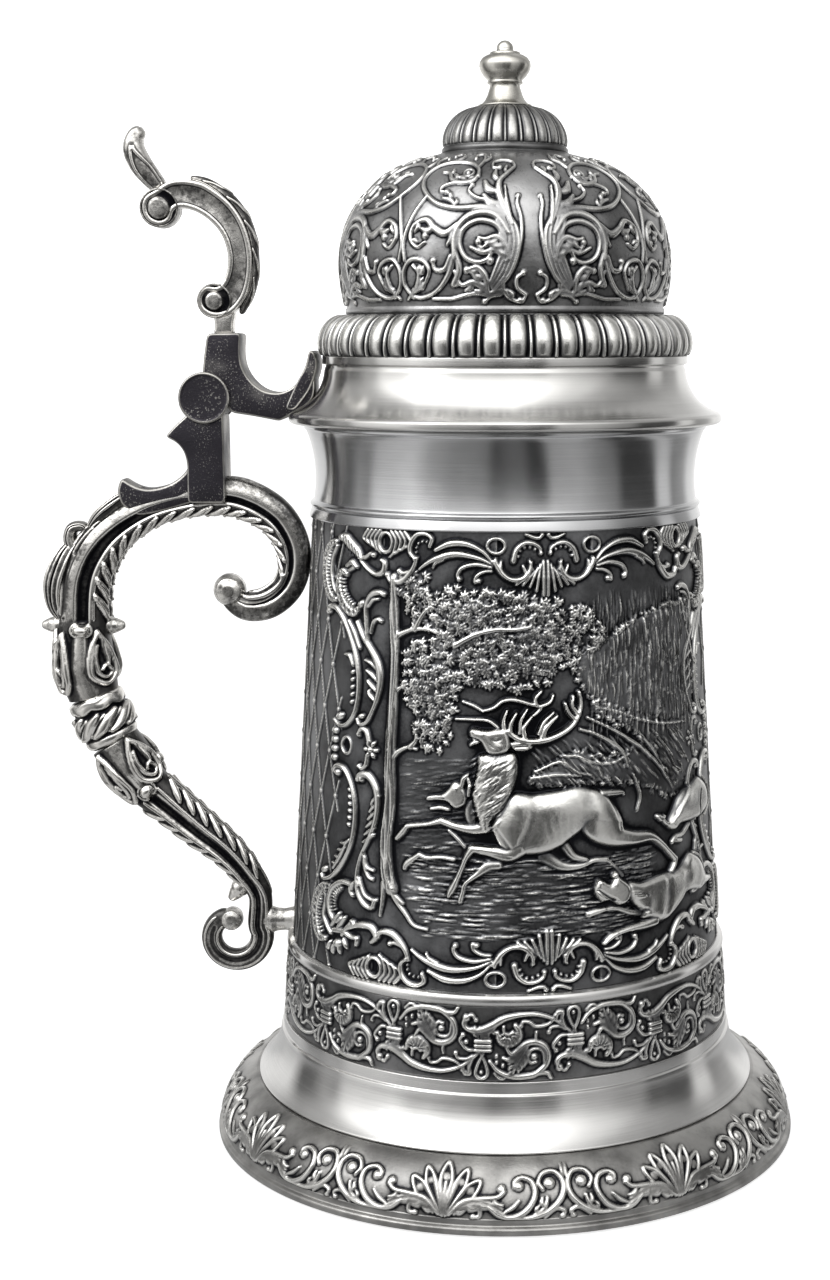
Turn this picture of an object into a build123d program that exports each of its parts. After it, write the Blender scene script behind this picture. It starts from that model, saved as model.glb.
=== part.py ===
from build123d import *
import os
from math import cos, radians, sin

# A lidded pewter tankard, in millimetres. The origin is the centre of the foot's resting plane, +Z is up,
# and the handle and the lid's hinge are on the -X side. Every wall is a ring turned about the Z axis.

# Heights where one turned piece is soldered to the next
FOOT_TOP = 15.2
FLARE_TOP = 30.6
FRIEZE_TOP = 48.3
FILLET_TOP = 51.4
DRUM_TOP = 159.8
MOUTH = 182.8
LID_SEAT = 183.0
SKIRT_TOP = 199.7
GADROON_TOP = 209.8
DOME_TOP = 249.0
CAP_TOP = 260.4
FINIAL_TOP = 276.4

# Radii
FOOT_R = 75.4
GROOVE_R = 65.3
FRIEZE_R_LOW, FRIEZE_R_HIGH = 57.4, 56.2
FILLET_R = 56.75
DRUM_R_LOW, DRUM_R_HIGH = 55.3, 48.6
BORE_R_LOW, BORE_R_HIGH = 52.6, 46.2
FLOOR_R, FLOOR_THICK = 53.6, 2.5
LID_RIM_R = 54.4
SKIRT_R = 45.8
DOME_BASE_R = 39.8
CAP_R = 15.6
TIP_R = 2.1

# Lid hinge: five knuckles on a pin along Y
HINGE_X, HINGE_Z = -75.0, 189.3
KNUCKLE_R = 6.2
KNUCKLE_CLEAR_R = 6.6
KNUCKLE_COUNT = 5
KNUCKLE_WIDTH = 2.4
KNUCKLE_GAP = 0.1
PIN_R, PIN_HOLE_R = 1.95, 2.0
HINGE_CAP_R, HINGE_CAP_THICK = 6.4, 1.1
PLATE_THICK = KNUCKLE_COUNT * KNUCKLE_WIDTH + (KNUCKLE_COUNT - 1) * KNUCKLE_GAP

# Handle arms: (x, z, half width in the handle's plane) along each centreline
ARM_FLATNESS = 0.85
ARM_SECTION_PITCH = 3.6
UPPER_ARM = [
    (-106.0, 112.8, 6.2),
    (-107.6, 120.0, 7.7),
    (-108.0, 130.5, 6.4),
    (-107.2, 142.5, 6.5),
    (-103.7, 150.5, 6.0),
    (-98.2, 156.3, 5.1),
    (-90.0, 161.0, 4.4),
    (-82.0, 163.3, 4.3),
    (-74.5, 164.5, 4.8),
    (-67.0, 164.0, 5.0),
    (-59.0, 159.8, 4.7),
    (-54.6, 153.5, 4.3),
    (-53.6, 147.0, 4.0),
    (-55.6, 141.0, 3.9),
    (-60.3, 137.0, 4.0),
    (-65.6, 136.0, 4.0),
    (-70.0, 138.2, 3.8),
    (-71.6, 141.5, 3.0),
    (-71.2, 143.6, 1.6),
]
LOWER_ARM = [
    (-101.0, 100.8, 6.3),
    (-97.0, 94.4, 7.0),
    (-92.7, 89.2, 5.6),
    (-86.4, 83.8, 5.2),
    (-79.8, 78.0, 4.9),
    (-73.0, 72.3, 4.2),
    (-67.8, 66.2, 3.7),
    (-64.2, 60.0, 2.9),
]
# The foot scroll of the handle goes on from the lower arm round this centre
SCROLL_X, SCROLL_Z, SCROLL_R, SCROLL_HALF_WIDTH = -70.7, 49.2, 7.0, 2.6
SCROLL_FROM, SCROLL_TO, SCROLL_STEP = 25, -235, -26
COLLAR_R, COLLAR_TILT_TOP, COLLAR_TILT_BOTTOM = 7.3, 12, 27

# Lid knob fixing inside the fluted cap
STUD_R, STUD_LENGTH = 2.4, 14.0
NUT_ACROSS_FLATS, NUT_HEIGHT = 8.0, 4.0
WASHER_R, WASHER_THICK = 5.0, 0.8
CAP_PLATE = 2.4


def ring(outline):
    """The solid turned about Z from a closed outline of (radius, z) points, where a string 'arc' before a pair of
    points makes a three-point arc through the first of them."""
    edges, here, i = [], outline[0], 1
    while i < len(outline):
        if outline[i] == "arc":
            via, end = outline[i + 1], outline[i + 2]
            edges.append(ThreePointArc((here[0], 0, here[1]), (via[0], 0, via[1]), (end[0], 0, end[1])))
            i += 3
        else:
            end = outline[i]
            edges.append(Line((here[0], 0, here[1]), (end[0], 0, end[1])))
            i += 1
        here = end
    first = outline[0]
    edges.append(Line((here[0], 0, here[1]), (first[0], 0, first[1])))
    return revolve(make_face(Wire(edges)), Axis.Z)


def pin_along_y(x, z, radius, y_from, y_to):
    """A cylinder about a line parallel to Y."""
    middle, length = (y_from + y_to) / 2, y_to - y_from
    return Pos(x, middle, z) * Rot(90, 0, 0) * Cylinder(radius, length)


def plate(edges, thickness):
    """A flat plate in the handle's plane, centred on it, from the closed edges of its outline."""
    return extrude(make_face(Wire(edges)), thickness / 2, dir=(0, 1, 0), both=True)


def polyline(points):
    """Straight edges through (x, z) points in the handle's plane."""
    pairs = zip(points, points[1:])
    return [Line((a[0], 0, a[1]), (b[0], 0, b[1])) for a, b in pairs]


def curve(points):
    """One smooth edge through (x, z) points in the handle's plane."""
    return [Spline([(x, 0, z) for x, z in points])]


def between(stations, lengths, at):
    """The half width at a distance along an arm, from the two stations either side of it."""
    i = 0
    while i < len(lengths) - 2 and lengths[i + 1] < at:
        i += 1
    share = (at - lengths[i]) / (lengths[i + 1] - lengths[i])
    return stations[i][2] + share * (stations[i + 1][2] - stations[i][2])


def arm(stations, start_tilt):
    """A lofted arm: oval sections at an even pitch, square to the smooth centreline through the stations.
    start_tilt turns the first section so that its face is that many degrees from level."""
    points = [Vector(x, 0, z) for x, z, _ in stations]
    lengths = [0]
    for a, b in zip(points, points[1:]):
        lengths.append(lengths[-1] + (b - a).length)
    upward = 1 if points[1].Z > points[0].Z else -1
    start = Vector(-upward * sin(radians(start_tilt)), 0, upward * cos(radians(start_tilt)))
    centreline = Spline(*points)
    count = round(lengths[-1] / ARM_SECTION_PITCH)
    sections = []
    for n in range(count + 1):
        share = n / count
        at = centreline @ share
        along = start if n == 0 else centreline % share
        half = between(stations, lengths, share * lengths[-1])
        place = Plane(origin=at, x_dir=Vector(0, 1, 0).cross(along), z_dir=along)
        sections.append(place * Ellipse(half, half * ARM_FLATNESS))
    return loft(sections)


def scroll_stations():
    """The lower arm's centreline carried on round the foot scroll to its curled tip."""
    stations = []
    steps = range(SCROLL_FROM, SCROLL_TO, SCROLL_STEP)
    for n, angle in enumerate(steps):
        share = n / (len(steps) - 1)
        reach = SCROLL_R - 1.6 * share ** 4
        half = SCROLL_HALF_WIDTH - 0.4 * share
        stations.append((SCROLL_X + reach * cos(radians(angle)), SCROLL_Z + reach * sin(radians(angle)), half))
    return stations


# ---- Vessel -------------------------------------------------------------------------------------------------------

def foot_rim():
    """Convex cast ring with a stepped bead at the table."""
    return ring([
        (FOOT_R - 3.6, 0), (FOOT_R, 0), (FOOT_R, 1.6), (FOOT_R - 0.9, 2.0), (FOOT_R - 0.9, 3.6),
        "arc", (71.3, 10.6), (GROOVE_R, FOOT_TOP),
        (GROOVE_R - 3.4, FOOT_TOP), "arc", (68.6, 9.0), (FOOT_R - 3.6, 2.6),
    ])


def foot_flare():
    """Plain turned cove between the foot rim and the frieze, with a flat band at its top that carries the floor."""
    return ring([
        (61.9, FOOT_TOP), (64.6, FOOT_TOP), "arc", (60.4, 20.8), (58.6, 27.4),
        (58.0, 27.7), (58.0, FLARE_TOP), (51.5, FLARE_TOP), (51.5, 28.8), (55.6, 27.0),
        "arc", (57.6, 19.8),
        (61.9, FOOT_TOP + 0.2),
    ])


def frieze_ring():
    """Low band that carries the scroll frieze."""
    return ring([
        (FLOOR_R, FLARE_TOP), (FRIEZE_R_LOW, FLARE_TOP), (FRIEZE_R_HIGH, FRIEZE_TOP),
        (BORE_R_LOW + 0.6, FRIEZE_TOP), (FLOOR_R, FRIEZE_TOP - 6),
    ])


def base_fillet():
    """Bright half-round fillet between the frieze and the drum."""
    return ring([
        (BORE_R_LOW, FRIEZE_TOP), (56.3, FRIEZE_TOP), "arc", (FILLET_R, 49.7), (56.1, FILLET_TOP),
        (BORE_R_LOW, FILLET_TOP),
    ])


def floor_plate():
    """Flat bottom of the drinking space, soldered inside the frieze ring."""
    return Pos(0, 0, FLARE_TOP) * Cylinder(FLOOR_R, FLOOR_THICK, align=(Align.CENTER, Align.CENTER, Align.MIN))


def relief_drum():
    """Tapered main wall. Its relief stands on this surface."""
    return ring([
        (BORE_R_LOW, FILLET_TOP), (DRUM_R_LOW, FILLET_TOP), (DRUM_R_HIGH, DRUM_TOP), (BORE_R_HIGH, DRUM_TOP),
    ])


def mouth_collar():
    """Plain turned collar, waisted, with a bead above the drum and a lip at the mouth."""
    return ring([
        (BORE_R_HIGH, DRUM_TOP), (49.2, DRUM_TOP), (49.0, 162.3), "arc", (49.35, 162.9), (48.9, 163.5),
        (48.4, 163.9), "arc", (48.0, 172.5), (50.1, 181.4),
        (50.6, 181.6), (50.6, MOUTH), (BORE_R_HIGH + 0.2, MOUTH),
    ])


# ---- Handle -------------------------------------------------------------------------------------------------------

def outer_cone():
    """Everything inside the drum's outer face, used to trim what is soldered to it."""
    return ring([(0, FRIEZE_TOP), (FILLET_R, FRIEZE_TOP), (FILLET_R, FILLET_TOP), (DRUM_R_LOW, FILLET_TOP),
                 (DRUM_R_HIGH, DRUM_TOP), (0, DRUM_TOP)])


def handle_upper_arm():
    return arm(UPPER_ARM, COLLAR_TILT_TOP) - outer_cone()


def handle_lower_arm():
    return arm(LOWER_ARM + scroll_stations(), COLLAR_TILT_BOTTOM)


def handle_rope_collar():
    """Swelling between the two arms, cut square to each."""
    sections = []
    ends = [UPPER_ARM[0], LOWER_ARM[0]]
    for share in (0, 0.5, 1):
        x = ends[0][0] + share * (ends[1][0] - ends[0][0])
        z = ends[0][1] + share * (ends[1][1] - ends[0][1])
        tilt = radians(COLLAR_TILT_TOP + share * (COLLAR_TILT_BOTTOM - COLLAR_TILT_TOP))
        half = COLLAR_R if share == 0.5 else ends[round(share)][2]
        place = Plane(origin=(x, 0, z), x_dir=(cos(tilt), 0, sin(tilt)), z_dir=(sin(tilt), 0, -cos(tilt)))
        sections.append(place * Ellipse(half, half * 0.95))
    return loft(sections)


def handle_strut(lower_arm):
    """Short waisted stay from the foot of the handle to the drum."""
    height = 53.2
    stay = Pos(-59, 0, height) * Rot(0, 90, 0) * Cylinder(2.6, 14)
    return stay - outer_cone() - lower_arm


def knuckle_spans():
    """(low, high) along Y of each knuckle, front to back."""
    pitch = KNUCKLE_WIDTH + KNUCKLE_GAP
    starts = [-PLATE_THICK / 2 + n * pitch for n in range(KNUCKLE_COUNT)]
    return [(y, y + KNUCKLE_WIDTH) for y in starts]


def hinge_half(body, own, other):
    """Adds this half's knuckles to its plate, clears the other half's knuckles and drills the pin hole."""
    for low, high in other:
        low, high = low - KNUCKLE_GAP, high + KNUCKLE_GAP
        body = body - pin_along_y(HINGE_X, HINGE_Z, KNUCKLE_CLEAR_R, low, high)
    for low, high in own:
        body = body + pin_along_y(HINGE_X, HINGE_Z, KNUCKLE_R, low, high)
    reach = PLATE_THICK
    return body - pin_along_y(HINGE_X, HINGE_Z, PIN_HOLE_R, -reach, reach)


def hinge_post(upper_arm):
    """Upright cast on the arm, with the lid's stop hook, a spur, and the three outer knuckles."""
    post = plate(
        polyline([(-79.8, 173.4), (-79.8, 164.0), (-70.3, 164.0), (-70.5, 185.0), (-79.4, 185.0)])
        + curve([(-79.4, 185.0), (-82.0, 182.6), (-85.1, 179.5)])
        + curve([(-85.1, 179.5), (-82.2, 178.3), (-80.4, 176.2), (-79.8, 173.4)]),
        PLATE_THICK,
    )
    spur = plate(
        curve([(-79.0, 174.0), (-80.8, 170.4), (-85.0, 167.4), (-90.0, 166.2), (-93.8, 167.0), (-96.6, 168.8)])
        + polyline([(-96.6, 168.8), (-97.6, 163.6), (-93.0, 160.0), (-79.0, 164.0), (-79.0, 174.0)]),
        7.0,
    )
    spans = knuckle_spans()
    return hinge_half(post + spur - upper_arm, spans[0::2], spans[1::2])


def hinge_pin():
    return pin_along_y(HINGE_X, HINGE_Z, PIN_R, -PLATE_THICK / 2, PLATE_THICK / 2)


def hinge_cap(side):
    """Domed disc that closes one end of the hinge: side is -1 at the front and 1 at the back."""
    face = side * PLATE_THICK / 2
    disc = pin_along_y(HINGE_X, HINGE_Z, HINGE_CAP_R, min(face, face + side * HINGE_CAP_THICK),
                       max(face, face + side * HINGE_CAP_THICK))
    rim = disc.edges().filter_by(GeomType.CIRCLE).sort_by(Axis.Y)[0 if side < 0 else -1]
    return fillet(rim, 0.5)


# ---- Lid ----------------------------------------------------------------------------------------------------------

def lid_skirt():
    """Turned lid flange: a thin rim, a cove, a grooved top band, and a lip that drops into the mouth."""
    return ring([
        (43.9, 180.2), (45.4, 180.2), (45.4, LID_SEAT), (LID_RIM_R - 0.3, LID_SEAT),
        (LID_RIM_R, LID_SEAT + 0.3), (LID_RIM_R, 185.0), (LID_RIM_R - 0.4, 185.3),
        "arc", (48.2, 189.3), (45.2, 197.4),
        (SKIRT_R, 197.8), (SKIRT_R, SKIRT_TOP), (43.0, SKIRT_TOP), (43.0, 193.0), (43.9, 188.0),
    ])


def gadroon_ring():
    """Quarter-round moulding under the dome."""
    return ring([
        (43.0, SKIRT_TOP), (46.0, SKIRT_TOP), "arc", (45.6, 206.4), (40.8, GADROON_TOP),
        (37.8, GADROON_TOP), "arc", (42.2, 205.2), (43.0, SKIRT_TOP + 0.2),
    ])


def lid_dome():
    """Hollow onion-shouldered dome on a thin fillet."""
    outer = [(39.4, 211.6), (40.9, 220.5), (40.2, 228.5), (36.8, 237.0), (31.0, 243.0), (24.0, 246.9), (16.2, DOME_TOP)]
    inner = [(13.6, 247.4), (23.2, 245.0), (29.9, 241.4), (35.2, 235.9), (38.3, 228.1), (38.9, 220.5), (37.8, GADROON_TOP)]
    edges = [
        Line((37.8, 0, GADROON_TOP), (DOME_BASE_R, 0, GADROON_TOP)),
        Line((DOME_BASE_R, 0, GADROON_TOP), (DOME_BASE_R, 0, 211.2)),
        Line((DOME_BASE_R, 0, 211.2), (outer[0][0], 0, outer[0][1])),
        *curve(outer),
        Line((outer[-1][0], 0, DOME_TOP), (13.6, 0, DOME_TOP)),
        Line((13.6, 0, DOME_TOP), (inner[0][0], 0, inner[0][1])),
        *curve(inner),
    ]
    return revolve(make_face(Wire(edges)), Axis.Z)


def fluted_cap():
    """Small domed cap that carries the knob."""
    under = CAP_TOP - CAP_PLATE
    return ring([
        (13.2, DOME_TOP), (CAP_R, DOME_TOP), (CAP_R, DOME_TOP + 1.5), (CAP_R - 0.5, DOME_TOP + 1.9),
        "arc", (13.5, 256.6), (7.4, CAP_TOP),
        (STUD_R + 0.2, CAP_TOP), (STUD_R + 0.2, under), (7.0, under),
        "arc", (11.4, 254.4), (13.2, DOME_TOP + 0.2),
    ])


def finial():
    """Turned knob with a blind hole for its stud."""
    knob = ring([
        (0, CAP_TOP), (7.0, CAP_TOP), (6.4, 261.2), "arc", (4.1, 263.4), (3.7, 266.2),
        (4.4, 267.2), "arc", (6.5, 269.9), (4.6, 272.6),
        (4.4, 273.3), (TIP_R, 273.6), (TIP_R, FINIAL_TOP - TIP_R), (0, FINIAL_TOP - TIP_R),
    ])
    tip = Pos(0, 0, FINIAL_TOP - TIP_R) * Sphere(TIP_R)
    drilling = Pos(0, 0, CAP_TOP) * Cylinder(STUD_R + 0.05, 8, align=(Align.CENTER, Align.CENTER, Align.MIN))
    return knob + tip - drilling


def finial_stud():
    return Pos(0, 0, CAP_TOP + 7.5) * Cylinder(STUD_R, STUD_LENGTH, align=(Align.CENTER, Align.CENTER, Align.MAX))


def finial_washer():
    low = CAP_TOP - CAP_PLATE - WASHER_THICK
    base = (Align.CENTER, Align.CENTER, Align.MIN)
    return Pos(0, 0, low) * (Cylinder(WASHER_R, WASHER_THICK, align=base)
                             - Cylinder(STUD_R + 0.2, WASHER_THICK, align=base))


def finial_nut():
    low = CAP_TOP - CAP_PLATE - WASHER_THICK - NUT_HEIGHT
    hexagon = extrude(RegularPolygon(NUT_ACROSS_FLATS / 2, 6, major_radius=False), NUT_HEIGHT)
    hole = Cylinder(STUD_R + 0.05, NUT_HEIGHT, align=(Align.CENTER, Align.CENTER, Align.MIN))
    return Pos(0, 0, low) * (hexagon - hole)


def skirt_envelope():
    """Everything inside the lid skirt's and gadroon ring's outer faces, used to trim the shank."""
    return ring([
        (0, LID_SEAT - 4), (LID_RIM_R, LID_SEAT - 4), (LID_RIM_R, 185.0), (LID_RIM_R - 0.4, 185.3),
        "arc", (48.2, 189.3), (45.2, 197.4),
        (SKIRT_R, 197.8), (SKIRT_R, SKIRT_TOP), (46.0, SKIRT_TOP), "arc", (45.6, 206.4), (40.8, GADROON_TOP),
        (0, GADROON_TOP),
    ])


def lid_shank():
    """Lever from the hinge to the lid skirt, with the socket for the thumb lift and the two inner knuckles."""
    lever = plate(
        polyline([(-75.2, 195.2), (-74.0, 205.3), (-65.7, 205.3), (-65.7, 198.4)])
        + curve([(-65.7, 198.4), (-64.3, 194.6), (-61.2, 191.6), (-56.8, 190.4), (-52.8, 192.0), (-50.3, 194.8)])
        + polyline([(-50.3, 194.8), (-44.0, 194.8), (-48.0, 184.8), (-54.9, 184.8), (-55.8, 183.6),
                    (-68.0, 185.6), (-70.6, 189.3), (-75.2, 195.2)]),
        PLATE_THICK,
    )
    saddle = plate(
        curve([(-54.6, 187.4), (-51.6, 193.4), (-49.4, 197.4), (-48.4, 201.2)])
        + polyline([(-48.4, 201.2), (-44.0, 200.6), (-44.0, 187.4), (-54.6, 187.4)]),
        PLATE_THICK + 4,
    )
    spans = knuckle_spans()
    body = hinge_half(lever + saddle - skirt_envelope(), spans[1::2], spans[0::2])
    socket = Pos(-70.0, 0, 205.3) * Cylinder(1.7, 5, align=(Align.CENTER, Align.CENTER, Align.MAX))
    return body - socket


def thumb_lift():
    """C-scroll lever with two rolled ends, a leaf tail for the thumb, and a peg into the shank."""
    bow = plate(
        curve([(-86.5, 240.2), (-80.0, 242.9), (-73.4, 241.4), (-67.8, 237.0), (-64.0, 231.0), (-62.7, 223.5),
               (-64.0, 215.5), (-67.6, 210.2), (-72.4, 208.9)])
        + polyline([(-72.4, 208.9), (-72.4, 213.4)])
        + curve([(-72.4, 213.4), (-69.6, 217.5), (-68.6, 223.5), (-70.4, 229.3), (-74.4, 233.6), (-79.5, 235.8),
                 (-85.8, 235.2)])
        + polyline([(-85.8, 235.2), (-86.5, 240.2)]),
        7.0,
    )
    tail = plate(
        curve([(-84.0, 241.6), (-87.8, 244.8), (-90.0, 249.2), (-88.7, 253.6), (-90.2, 255.0)])
        + curve([(-90.2, 255.0), (-93.4, 253.6), (-94.6, 250.0), (-92.6, 244.6), (-88.8, 237.6)])
        + polyline([(-88.8, 237.6), (-84.0, 237.0), (-84.0, 241.6)]),
        6.0,
    )
    high_roll = pin_along_y(-85.8, 235.6, 4.2, -4.2, 4.2)
    low_roll = pin_along_y(-72.4, 213.3, 4.2, -4.2, 4.2)
    neck = Pos(-70.6, 0, 205.3) * Box(5.0, 5.0, 5.0, align=(Align.CENTER, Align.CENTER, Align.MIN))
    peg = Pos(-70.0, 0, 205.3) * Cylinder(1.6, 4.6, align=(Align.CENTER, Align.CENTER, Align.MAX))
    return bow + tail + high_roll + low_roll + neck + peg


# ---- Writing ------------------------------------------------------------------------------------------------------

upper_arm = handle_upper_arm()
lower_arm = handle_lower_arm()
nodes = {
    "foot_rim": foot_rim(),
    "foot_flare": foot_flare(),
    "frieze_ring": frieze_ring(),
    "base_fillet": base_fillet(),
    "floor_plate": floor_plate(),
    "relief_drum": relief_drum(),
    "mouth_collar": mouth_collar(),
    "handle_upper_arm": upper_arm,
    "handle_rope_collar": handle_rope_collar(),
    "handle_lower_arm": lower_arm,
    "handle_strut": handle_strut(lower_arm),
    "hinge_post": hinge_post(upper_arm),
    "hinge_pin": hinge_pin(),
    "hinge_cap_front": hinge_cap(-1),
    "hinge_cap_back": hinge_cap(1),
    "lid_skirt": lid_skirt(),
    "gadroon_ring": gadroon_ring(),
    "lid_dome": lid_dome(),
    "fluted_cap": fluted_cap(),
    "finial": finial(),
    "finial_stud": finial_stud(),
    "finial_washer": finial_washer(),
    "finial_nut": finial_nut(),
    "lid_shank": lid_shank(),
    "thumb_lift": thumb_lift(),
}

os.makedirs("parts", exist_ok=True)
for name, shape in nodes.items():
    export_step(shape, f"parts/{name}.step")
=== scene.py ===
import math

import bpy
import numpy as np
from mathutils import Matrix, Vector
from mathutils.geometry import delaunay_2d_cdt


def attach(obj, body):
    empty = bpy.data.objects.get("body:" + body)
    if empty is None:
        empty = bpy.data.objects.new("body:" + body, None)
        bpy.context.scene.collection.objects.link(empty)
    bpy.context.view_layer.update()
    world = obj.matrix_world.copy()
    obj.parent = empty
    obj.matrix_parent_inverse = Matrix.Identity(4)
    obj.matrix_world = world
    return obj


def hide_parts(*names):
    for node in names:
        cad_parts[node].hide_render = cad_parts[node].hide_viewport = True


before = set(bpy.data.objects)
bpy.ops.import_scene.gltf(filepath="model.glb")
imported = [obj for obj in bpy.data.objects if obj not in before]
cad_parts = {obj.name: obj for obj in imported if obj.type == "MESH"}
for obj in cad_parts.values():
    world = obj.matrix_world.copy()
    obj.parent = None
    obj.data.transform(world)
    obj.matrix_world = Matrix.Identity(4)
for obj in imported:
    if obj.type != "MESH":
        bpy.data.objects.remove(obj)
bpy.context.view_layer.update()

# A lidded pewter tankard. Reliefs are carved as height maps over the unrolled walls, in millimetres, with u running
# round the vessel from its front to the right, and s up the wall. Everything else is turned, swept or cut from plate.


# How far round each pattern starts, as a share of the way round from the vessel's front, and how often it comes
FOOT_START, FOOT_MOTIFS = -0.031, 8
FRIEZE_START, FRIEZE_CELLS = -0.0775, 16
DOME_START, DOME_MOTIFS = 0.0245, 4
GADROONS, CAP_FLUTES = 48, 24
# How far the middle of a hunting panel lies from the stag's shoulder
PANEL_AXIS = 10
# How much of its carved height a cast band keeps
CAST_DEPTH = 0.72


# ---- Relief carving ------------------------------------------------------------------------------------------------


class Relief:
    """A height map, in millimetres, over a band unrolled flat: u runs round the vessel, s runs up its wall."""

    def __init__(self, around, tall, pitch):
        self.around, self.tall = around, tall
        self.cols, self.rows = round(around / pitch), round(tall / pitch)
        self.h = np.zeros((self.rows, self.cols))

    def window(self, low, high):
        """Row and column numbers of the cells inside a box, and the cells' u and s."""
        du, ds = self.around / self.cols, self.tall / self.rows
        cols = np.arange(math.floor(low[0] / du), math.ceil(high[0] / du) + 1)
        rows = np.arange(max(math.floor(low[1] / ds), 0), min(math.ceil(high[1] / ds), self.rows - 1) + 1)
        u, s = np.meshgrid((cols + 0.5) * du, (rows + 0.5) * ds)
        return np.ix_(rows, cols % self.cols), u, s

    def merge(self, where, height, add=False):
        self.h[where] = self.h[where] + height if add else np.maximum(self.h[where], height)

    def ridge(self, path, wide, high, form, add=False):
        """A strand along a dense path; wide and high are given at each of its points."""
        reach = wide.max()
        where, u, s = self.window(path.min(0) - reach, path.max(0) + reach)
        if not u.size:
            return
        out = np.zeros(u.shape)
        for i in range(0, len(path) - 1, 12):
            p, w, h = path[i:i + 14], wide[i:i + 14], high[i:i + 14]
            near = ((u[0] > p[:, 0].min() - reach) & (u[0] < p[:, 0].max() + reach)).nonzero()[0]
            rows = ((s[:, 0] > p[:, 1].min() - reach) & (s[:, 0] < p[:, 1].max() + reach)).nonzero()[0]
            if not len(near) or not len(rows):
                continue
            cut = np.ix_(rows, near)
            q = np.hypot(u[cut][..., None] - p[:, 0], s[cut][..., None] - p[:, 1]) / w
            k = q.argmin(-1)
            q = np.take_along_axis(q, k[..., None], -1)[..., 0]
            here = FORMS[form](np.minimum(q, 1)) * h[k] * (q < 1)
            out[cut] = np.maximum(out[cut], here) if h.max() > 0 else np.minimum(out[cut], here)
        self.merge(where, out, add)

    def dome(self, at, radii, turn, high, power, add=False):
        """An oval swelling: power 0.5 is a ball, 2 a soft mound."""
        reach = max(radii)
        where, u, s = self.window(np.subtract(at, reach), np.add(at, reach))
        if not u.size:
            return
        c, d = math.cos(turn), math.sin(turn)
        x, y = (u - at[0]) * c + (s - at[1]) * d, (s - at[1]) * c - (u - at[0]) * d
        q = np.maximum(1 - (x / radii[0]) ** 2 - (y / radii[1]) ** 2, 0)
        self.merge(where, high * q ** power, add)

    def pillow(self, outline, edge, high):
        """A padded shape inside a closed outline: its edge is rounded over the width given."""
        where, u, s = self.window(outline.min(0) - 0.3, outline.max(0) + 0.3)
        if not u.size:
            return
        away = np.full(u.shape, 1e9)
        inside = np.zeros(u.shape, bool)
        for (u0, s0), (u1, s1) in zip(outline, np.roll(outline, -1, 0)):
            du, ds = u1 - u0, s1 - s0
            share = np.clip(((u - u0) * du + (s - s0) * ds) / (du ** 2 + ds ** 2 + 1e-9), 0, 1)
            away = np.minimum(away, (u - u0 - share * du) ** 2 + (s - s0 - share * ds) ** 2)
            inside ^= ((s0 > s) != (s1 > s)) & (u < du * (s - s0) / (ds + 1e-12) + u0)
        q = 1 - np.minimum(np.sqrt(away) / edge, 1)
        self.merge(where, inside * high * np.sqrt(1 - q * q))

    def blurred(self, radius):
        """The map softened over a radius, in millimetres."""
        out = self.h
        for axis, pitch in ((0, self.tall / self.rows), (1, self.around / self.cols)):
            n = max(round(radius / pitch * 1.2), 1)
            for _ in range(2):
                out = sum(shifted(out, k, axis) for k in range(-n, n + 1)) / (2 * n + 1)
        return out


def shifted(grid, by, axis):
    """The grid moved along an axis: round the vessel it wraps, up the wall its ends repeat."""
    moved = np.roll(grid, by, axis)
    if axis == 0 and by > 0:
        moved[:by] = grid[:1]
    if axis == 0 and by < 0:
        moved[by:] = grid[-1:]
    return moved


FORMS = {
    "round": lambda q: np.sqrt(1 - q * q),
    "soft": lambda q: (1 - q * q) ** 2,
    "keel": lambda q: 1 - q,
    "strap": lambda q: np.where(q < 0.55, 0.62 + 0.38 * (q / 0.55) ** 2,
                                np.sqrt(np.maximum(1 - ((q - 0.55) / 0.45) ** 2, 0))),
    "band": lambda q: np.minimum((1 - q) * 3.2, 1) ** 0.6,
}


# The pitch of the points along a stroke, in millimetres
STROKE_STEP = 0.16


def pairs(points):
    """Points as rows of x and y. They may come one after the other in one run of numbers."""
    return np.array(points, float).reshape(-1, 2)


def smooth(points, step=STROKE_STEP, closed=False):
    """A smooth path through points, at an even pitch, and how far along it each point is, from 0 to 1."""
    p = np.array(points, float)
    if closed:
        p = np.vstack([p[-1], p, p[:2]])
    else:
        p = np.vstack([2 * p[0] - p[1], p, 2 * p[-1] - p[-2]])
    out = []
    for a, b, c, d in zip(p, p[1:], p[2:], p[3:]):
        n = max(int(np.hypot(*(c - b)) / step * 2), 3)
        t = np.linspace(0, 1, n, endpoint=False)[:, None]
        square, cube = 2 * a - 5 * b + 4 * c - d, 3 * b - a - 3 * c + d
        out.append(0.5 * (2 * b + (c - a) * t + square * t ** 2 + cube * t ** 3))
    if not closed:
        out.append(p[-2:-1])
    path = np.vstack(out)
    far = np.concatenate([[0], np.cumsum(np.hypot(*np.diff(path, axis=0).T))])
    n = max(int(far[-1] / step), 3)
    even = np.linspace(0, far[-1], n)
    return np.stack([np.interp(even, far, path[:, k]) for k in (0, 1)], 1), np.linspace(0, 1, n)


def along(values, t):
    """A number, or a few spread evenly along a path, at each point of the path."""
    values = np.atleast_1d(np.array(values, float))
    return np.interp(t, np.linspace(0, 1, len(values)), values)


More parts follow.
